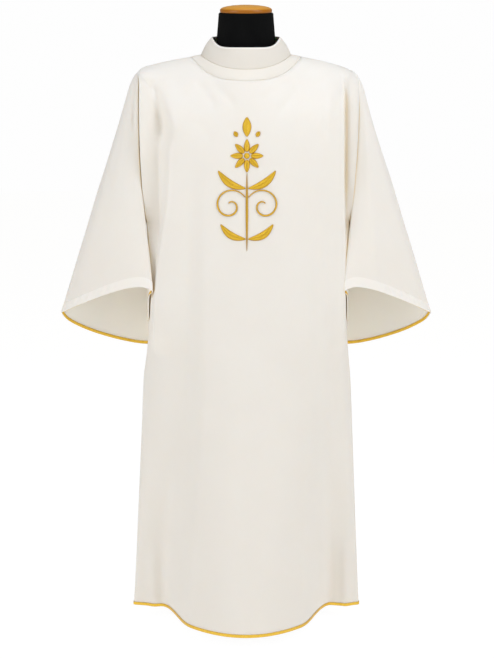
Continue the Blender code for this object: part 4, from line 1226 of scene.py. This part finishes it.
def leafPad(row, side):
    share = np.linspace(0, 1, row["steps"] + 1)
    base, tip = (np.array([row[end + "X"] * side, row[end + "Z"]]) for end in ("base", "tip"))
    way = unit(tip - base)
    aside = np.array([way[1], -way[0]]) * row["bow"] * side
    middle = base + np.outer(share, tip - base) + np.outer(np.sin(math.pi * share), aside)
    return satinBand(middle, row["width"] / 2 * narrowing(share, *spray["leafEnd"]))


def tendrilPad(side):
    share = np.linspace(0, 1, spray["tendrilSteps"])
    (x, z), turns, radii = spray["tendrilMiddle"], spray["tendrilTurns"], spray["tendrilRadii"]
    turn = np.radians(turns[0] + (turns[1] - turns[0]) * share)
    radius = radii[0] + (radii[1] - radii[0]) * share
    middle = np.stack([side * (x + radius * np.cos(turn)), z + radius * np.sin(turn)], axis=1)
    end = spray["tendrilEnd"]
    half = spray["tendrilWidth"] / 2 * (end + (1 - end) * np.sin(math.pi * share))
    return satinBand(middle, half, spray["tendrilColumns"], 0.0)


def petalPad(angle):
    near, far, width = spray["petal"]
    share = np.linspace(0, 1, spray["petalSteps"])
    way = np.array([math.sin(angle), math.cos(angle)])
    middle = np.array([0, spray["flowerZ"]]) + np.outer(near + (far - near) * share, way)
    return satinBand(middle, width / 2 * narrowing(share ** spray["petalLean"], *spray["petalEnd"]))


def heartPad():
    share = np.linspace(-1, 1, spray["heartSteps"])
    middle = np.stack([share * 0, spray["flowerZ"] + share * spray["heart"]], axis=1)
    half = np.maximum(spray["heart"] * np.sqrt(np.maximum(1 - share ** 2, 0)), spray["heartEnd"])
    return satinBand(middle, half, spray["heartColumns"], 0.0)


for row in rowsOf(spray, "leafNames", "leaves"):
    if row["pair"]:
        for hand, side in hands.items():
            joinPads("satin_" + row["name"] + "_" + hand, [leafPad(row, side)])
    else:
        joinPads("satin_" + row["name"], [leafPad(row, 1)])
for hand, side in hands.items():
    joinPads("satin_tendril_" + hand, [tendrilPad(side)])
petals = [petalPad(2 * math.pi * i / spray["petals"]) for i in range(spray["petals"])]
joinPads("satin_flower", [*petals, heartPad()])
print("spray embroidered")

form = {
    "columns": 108,
    "between": 5,  # steps from one ring to the next
    # side, front and back depth, then the heights at the sides, front and back
    "neck": (
        (0.0598, 0.0582, 0.0582, 1.385, 1.385, 1.385),
        (0.0632, 0.06, 0.06, 1.345, 1.345, 1.345),
        (0.0665, 0.063, 0.0645, 1.318, 1.3, 1.322),
        (0.075, 0.068, 0.07, 1.306, 1.28, 1.308),
        (0.0985, 0.08, 0.076, 1.299, 1.26, 1.285),
    ),
    # front and back depth and height, close under the cloth of the shoulders
    "shoulder": (
        (0.092, 0.084, 1.235, 1.265),
        (0.097, 0.09, 1.215, 1.245),
        (0.101, 0.095, 1.195, 1.225),
        (0.104, 0.099, 1.175, 1.205),
    ),
    "trunk": (
        (0.211, 0.106, 0.102, 1.258, 1.15, 1.175),
        (0.208, 0.108, 0.105, 1.225, 1.115, 1.13),
        (0.185, 0.111, 0.107, 1.15, 1.07, 1.075),
        (0.17, 0.113, 0.106, 1.06, 1.01, 1.01),
        (0.158, 0.104, 0.098, 0.97, 0.95, 0.95),
        (0.146, 0.095, 0.088, 0.88, 0.87, 0.87),
        (0.153, 0.098, 0.098, 0.79, 0.79, 0.79),
        (0.168, 0.106, 0.109, 0.7, 0.7, 0.7),
        (0.165, 0.104, 0.107, 0.635, 0.635, 0.635),
        (0.148, 0.09, 0.094, 0.616, 0.616, 0.616),
    ),
    # radius and height
    "cap": (
        (0.0004, 1.4088), (0.015, 1.4085), (0.03, 1.4074), (0.042, 1.4056),
        (0.05, 1.4036), (0.0545, 1.4014), (0.0562, 1.3994), (0.0566, 1.3974),
        (0.0566, 1.395), (0.0563, 1.3936), (0.0558, 1.3928), (0.055, 1.3925),
    ),
    "neckEdge": ((0.056, 1.3921), (0.058, 1.3918), (0.0592, 1.3908), (0.0597, 1.3892)),
    "neckFlat": 0.975,
    "rise": 2.4,
    "inset": 0.0004,  # clear of the cloth's inner face
    "rightNarrower": 0.003,
    "weaveRadius": 0.08,  # for the weave's places round the cover
    "lean": 0.05,
    "leanFrom": (1.35, 1.385),
}
turns = np.radians(-90 + np.arange(form["columns"]) * 360 / form["columns"])


def shoulderRing(along, frontY, backY, frontZ, backZ):
    # a ring that follows the cloth at both shoulders, a little inside it
    inset = bodyCut["wall"] + bodyCut["seamGap"] + form["inset"]
    ends = (np.array([turn]) for turn in (-math.pi / 2, math.pi / 2))
    left, right = (bodyPoint(np.array([along]), end, True)[0] for end in ends)
    sideZ = np.where(np.sin(turns) < 0, left[2], right[2]) - inset
    sides = -left[0] - inset, right[0] - inset
    return ovalRing(turns, ringRise(along), *sides, frontY, backY, sideZ, frontZ, backZ)


def closedBody(name, grid, material):
    # a turned body with a fan of faces at each end
    rows, columns = grid.shape[:2]
    points = np.concatenate([grid.reshape(-1, 3), grid[[0, -1]].mean(axis=1)])
    top, low, last = rows * columns, rows * columns + 1, (rows - 1) * columns
    faces = gridFaces(rows, columns, closed=True).tolist()
    faces += [(top, c, (c + 1) % columns) for c in range(columns)]
    faces += [(low, last + (c + 1) % columns, last + c) for c in range(columns)]
    around = np.arctan2(points[:, 0], -points[:, 1]) * form["weaveRadius"]
    return makeMesh(name, points, faces, np.stack([around, points[:, 2]], axis=1), (material,))


shoulders = zip(np.linspace(0, bodyCut["alongTip"], len(form["shoulder"]) + 1)[:-1], form["shoulder"])
rise, flat, narrower = form["rise"], form["neckFlat"], form["rightNarrower"]
formRings = [
    *(ovalRing(turns, rise, row[0], *row) for row in form["neck"]),
    *(shoulderRing(along, *row) for along, row in shoulders),
    *(ovalRing(turns, rise, row[0], row[0] - narrower, *row[1:]) for row in form["trunk"]),
]
neckEdge = np.array([ovalRing(turns, rise, r, r, r * flat, r * flat, z, z, z) for r, z in form["neckEdge"]])
smoothRings = curveThrough(np.array(formRings), [form["between"]] * (len(formRings) - 1))
formGrid = np.concatenate([neckEdge, smoothRings])
# the neck is cut on a slight forward slope
formGrid[..., 2] += form["lean"] * formGrid[..., 1] * ease(*form["leanFrom"], formGrid[..., 2])
settle(closedBody("formCover", formGrid, finishes["jersey"]), "black_jersey", "form_torso")
capGrid = np.array([[(r * math.sin(a), -r * math.cos(a), z) for a in turns] for r, z in form["cap"]])
capGrid[..., 2] += form["lean"] * capGrid[..., 1]
settle(closedBody("capTurned", capGrid, finishes["wood"]), "honey_wood", "neck_cap")
for name in ("pole", "foot"):
    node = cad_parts[name]
    node.data.materials.clear()
    node.data.materials.append(finishes["steel"])
print("dress form ready")
studio = {
    "floor": {
        "Base Color": (0.12, 0.12, 0.12, 1.0),
        "Roughness": 0.95,
        "Specular IOR Level": 0.1,
        "Emission Color": (1.0, 1.0, 1.0, 1.0),
        "Emission Strength": 0.948,
    },
    # radius and height, to a slightly raised rim far off
    "floorRings": ((0.02, 0.0), (2.0, 0.0), (5.0, 0.0), (7.5, 0.0), (9.0, 0.02)),
    "floorTurn": 6,  # degrees
    "air": (1.0, 0.945, 0.825),
    "seenAir": (1.0, 1.0, 1.0),
    "airStrength": 0.275,
    "seenStrength": 0.99,
    "aim": (0.0, 0.0, 0.8),
    "lamp": (0.822, 0.878, 0.985),
    "lamps": {
        "key": {"at": (1.9, -1.5, 3.0), "size": 1.4, "power": 22},
        "front": {"at": (-0.2, -4.2, 1.5), "size": 2.4, "power": 8},
        "left": {"at": (-3.0, -2.2, 2.3), "size": 2.4, "power": 59},
        "right": {"at": (3.0, -2.2, 2.2), "size": 2.4, "power": 36},
        "top": {"at": (0.2, -0.5, 3.2), "size": 1.8, "power": 22},
    },
}


def makeFloor():
    material = newFinish("paleFloorPaint", studio["floor"])[0]
    around, rings = np.radians(np.arange(0, 360, studio["floorTurn"])), studio["floorRings"]
    grid = np.array([[(r * math.cos(a), r * math.sin(a), z) for a in around] for r, z in rings])
    faces = gridFaces(*grid.shape[:2], closed=True, flip=True).tolist() + [range(len(around))]
    makeMesh("paleFloor", grid, faces, None, (material,), smooth=False)


def makeLight(name, at, size, power):
    lamp = bpy.data.lights.new(name, "AREA")
    lamp.size = size
    lamp.energy = power
    lamp.color = studio["lamp"]
    light = bpy.data.objects.new(name, lamp)
    light.location = at
    aim = np.array(studio["aim"]) - np.array(at)
    tilt, turn = math.acos(-aim[2] / np.linalg.norm(aim)), math.atan2(aim[1], aim[0])
    light.rotation_euler = (tilt, 0, turn - math.pi / 2)
    bpy.context.scene.collection.objects.link(light)


def makeAir():
    # the air looks white, and gives the cloth a dimmer, warmer light
    world = bpy.data.worlds.new("studioAir")
    world.use_nodes = True
    tree = world.node_tree
    seen = addNode(tree, "LightPath").outputs["Is Camera Ray"]
    dim, bright = studio["airStrength"], studio["seenStrength"]
    sky = tree.nodes["Background"].inputs
    feed(tree, sky["Color"], mixColour(tree, seen, studio["air"], studio["seenAir"]))
    feed(tree, sky["Strength"], mathNode(tree, "MULTIPLY_ADD", seen, bright - dim, dim))
    bpy.context.scene.world = world


makeFloor()
for name, lamp in studio["lamps"].items():
    makeLight(name + "Light", lamp["at"], lamp["size"], lamp["power"])
makeAir()
bpy.context.scene.view_settings.view_transform = "Standard"

viewpoint = {
    "at": (0.0022, -3.33, 1.375),
    "downwards": 11.632,  # degrees below level
    "focalPixels": 1500,
    "heightPixels": 659,
    "sensor": 36,
}
lens = bpy.data.cameras.new("studioCamera")
lens.lens = viewpoint["focalPixels"] / viewpoint["heightPixels"] * viewpoint["sensor"]
camera = bpy.data.objects.new("studioCamera", lens)
camera.location = viewpoint["at"]
camera.rotation_euler = (math.radians(90 - viewpoint["downwards"]), 0, 0)
bpy.context.scene.collection.objects.link(camera)
bpy.context.scene.camera = camera
print("studio lit")
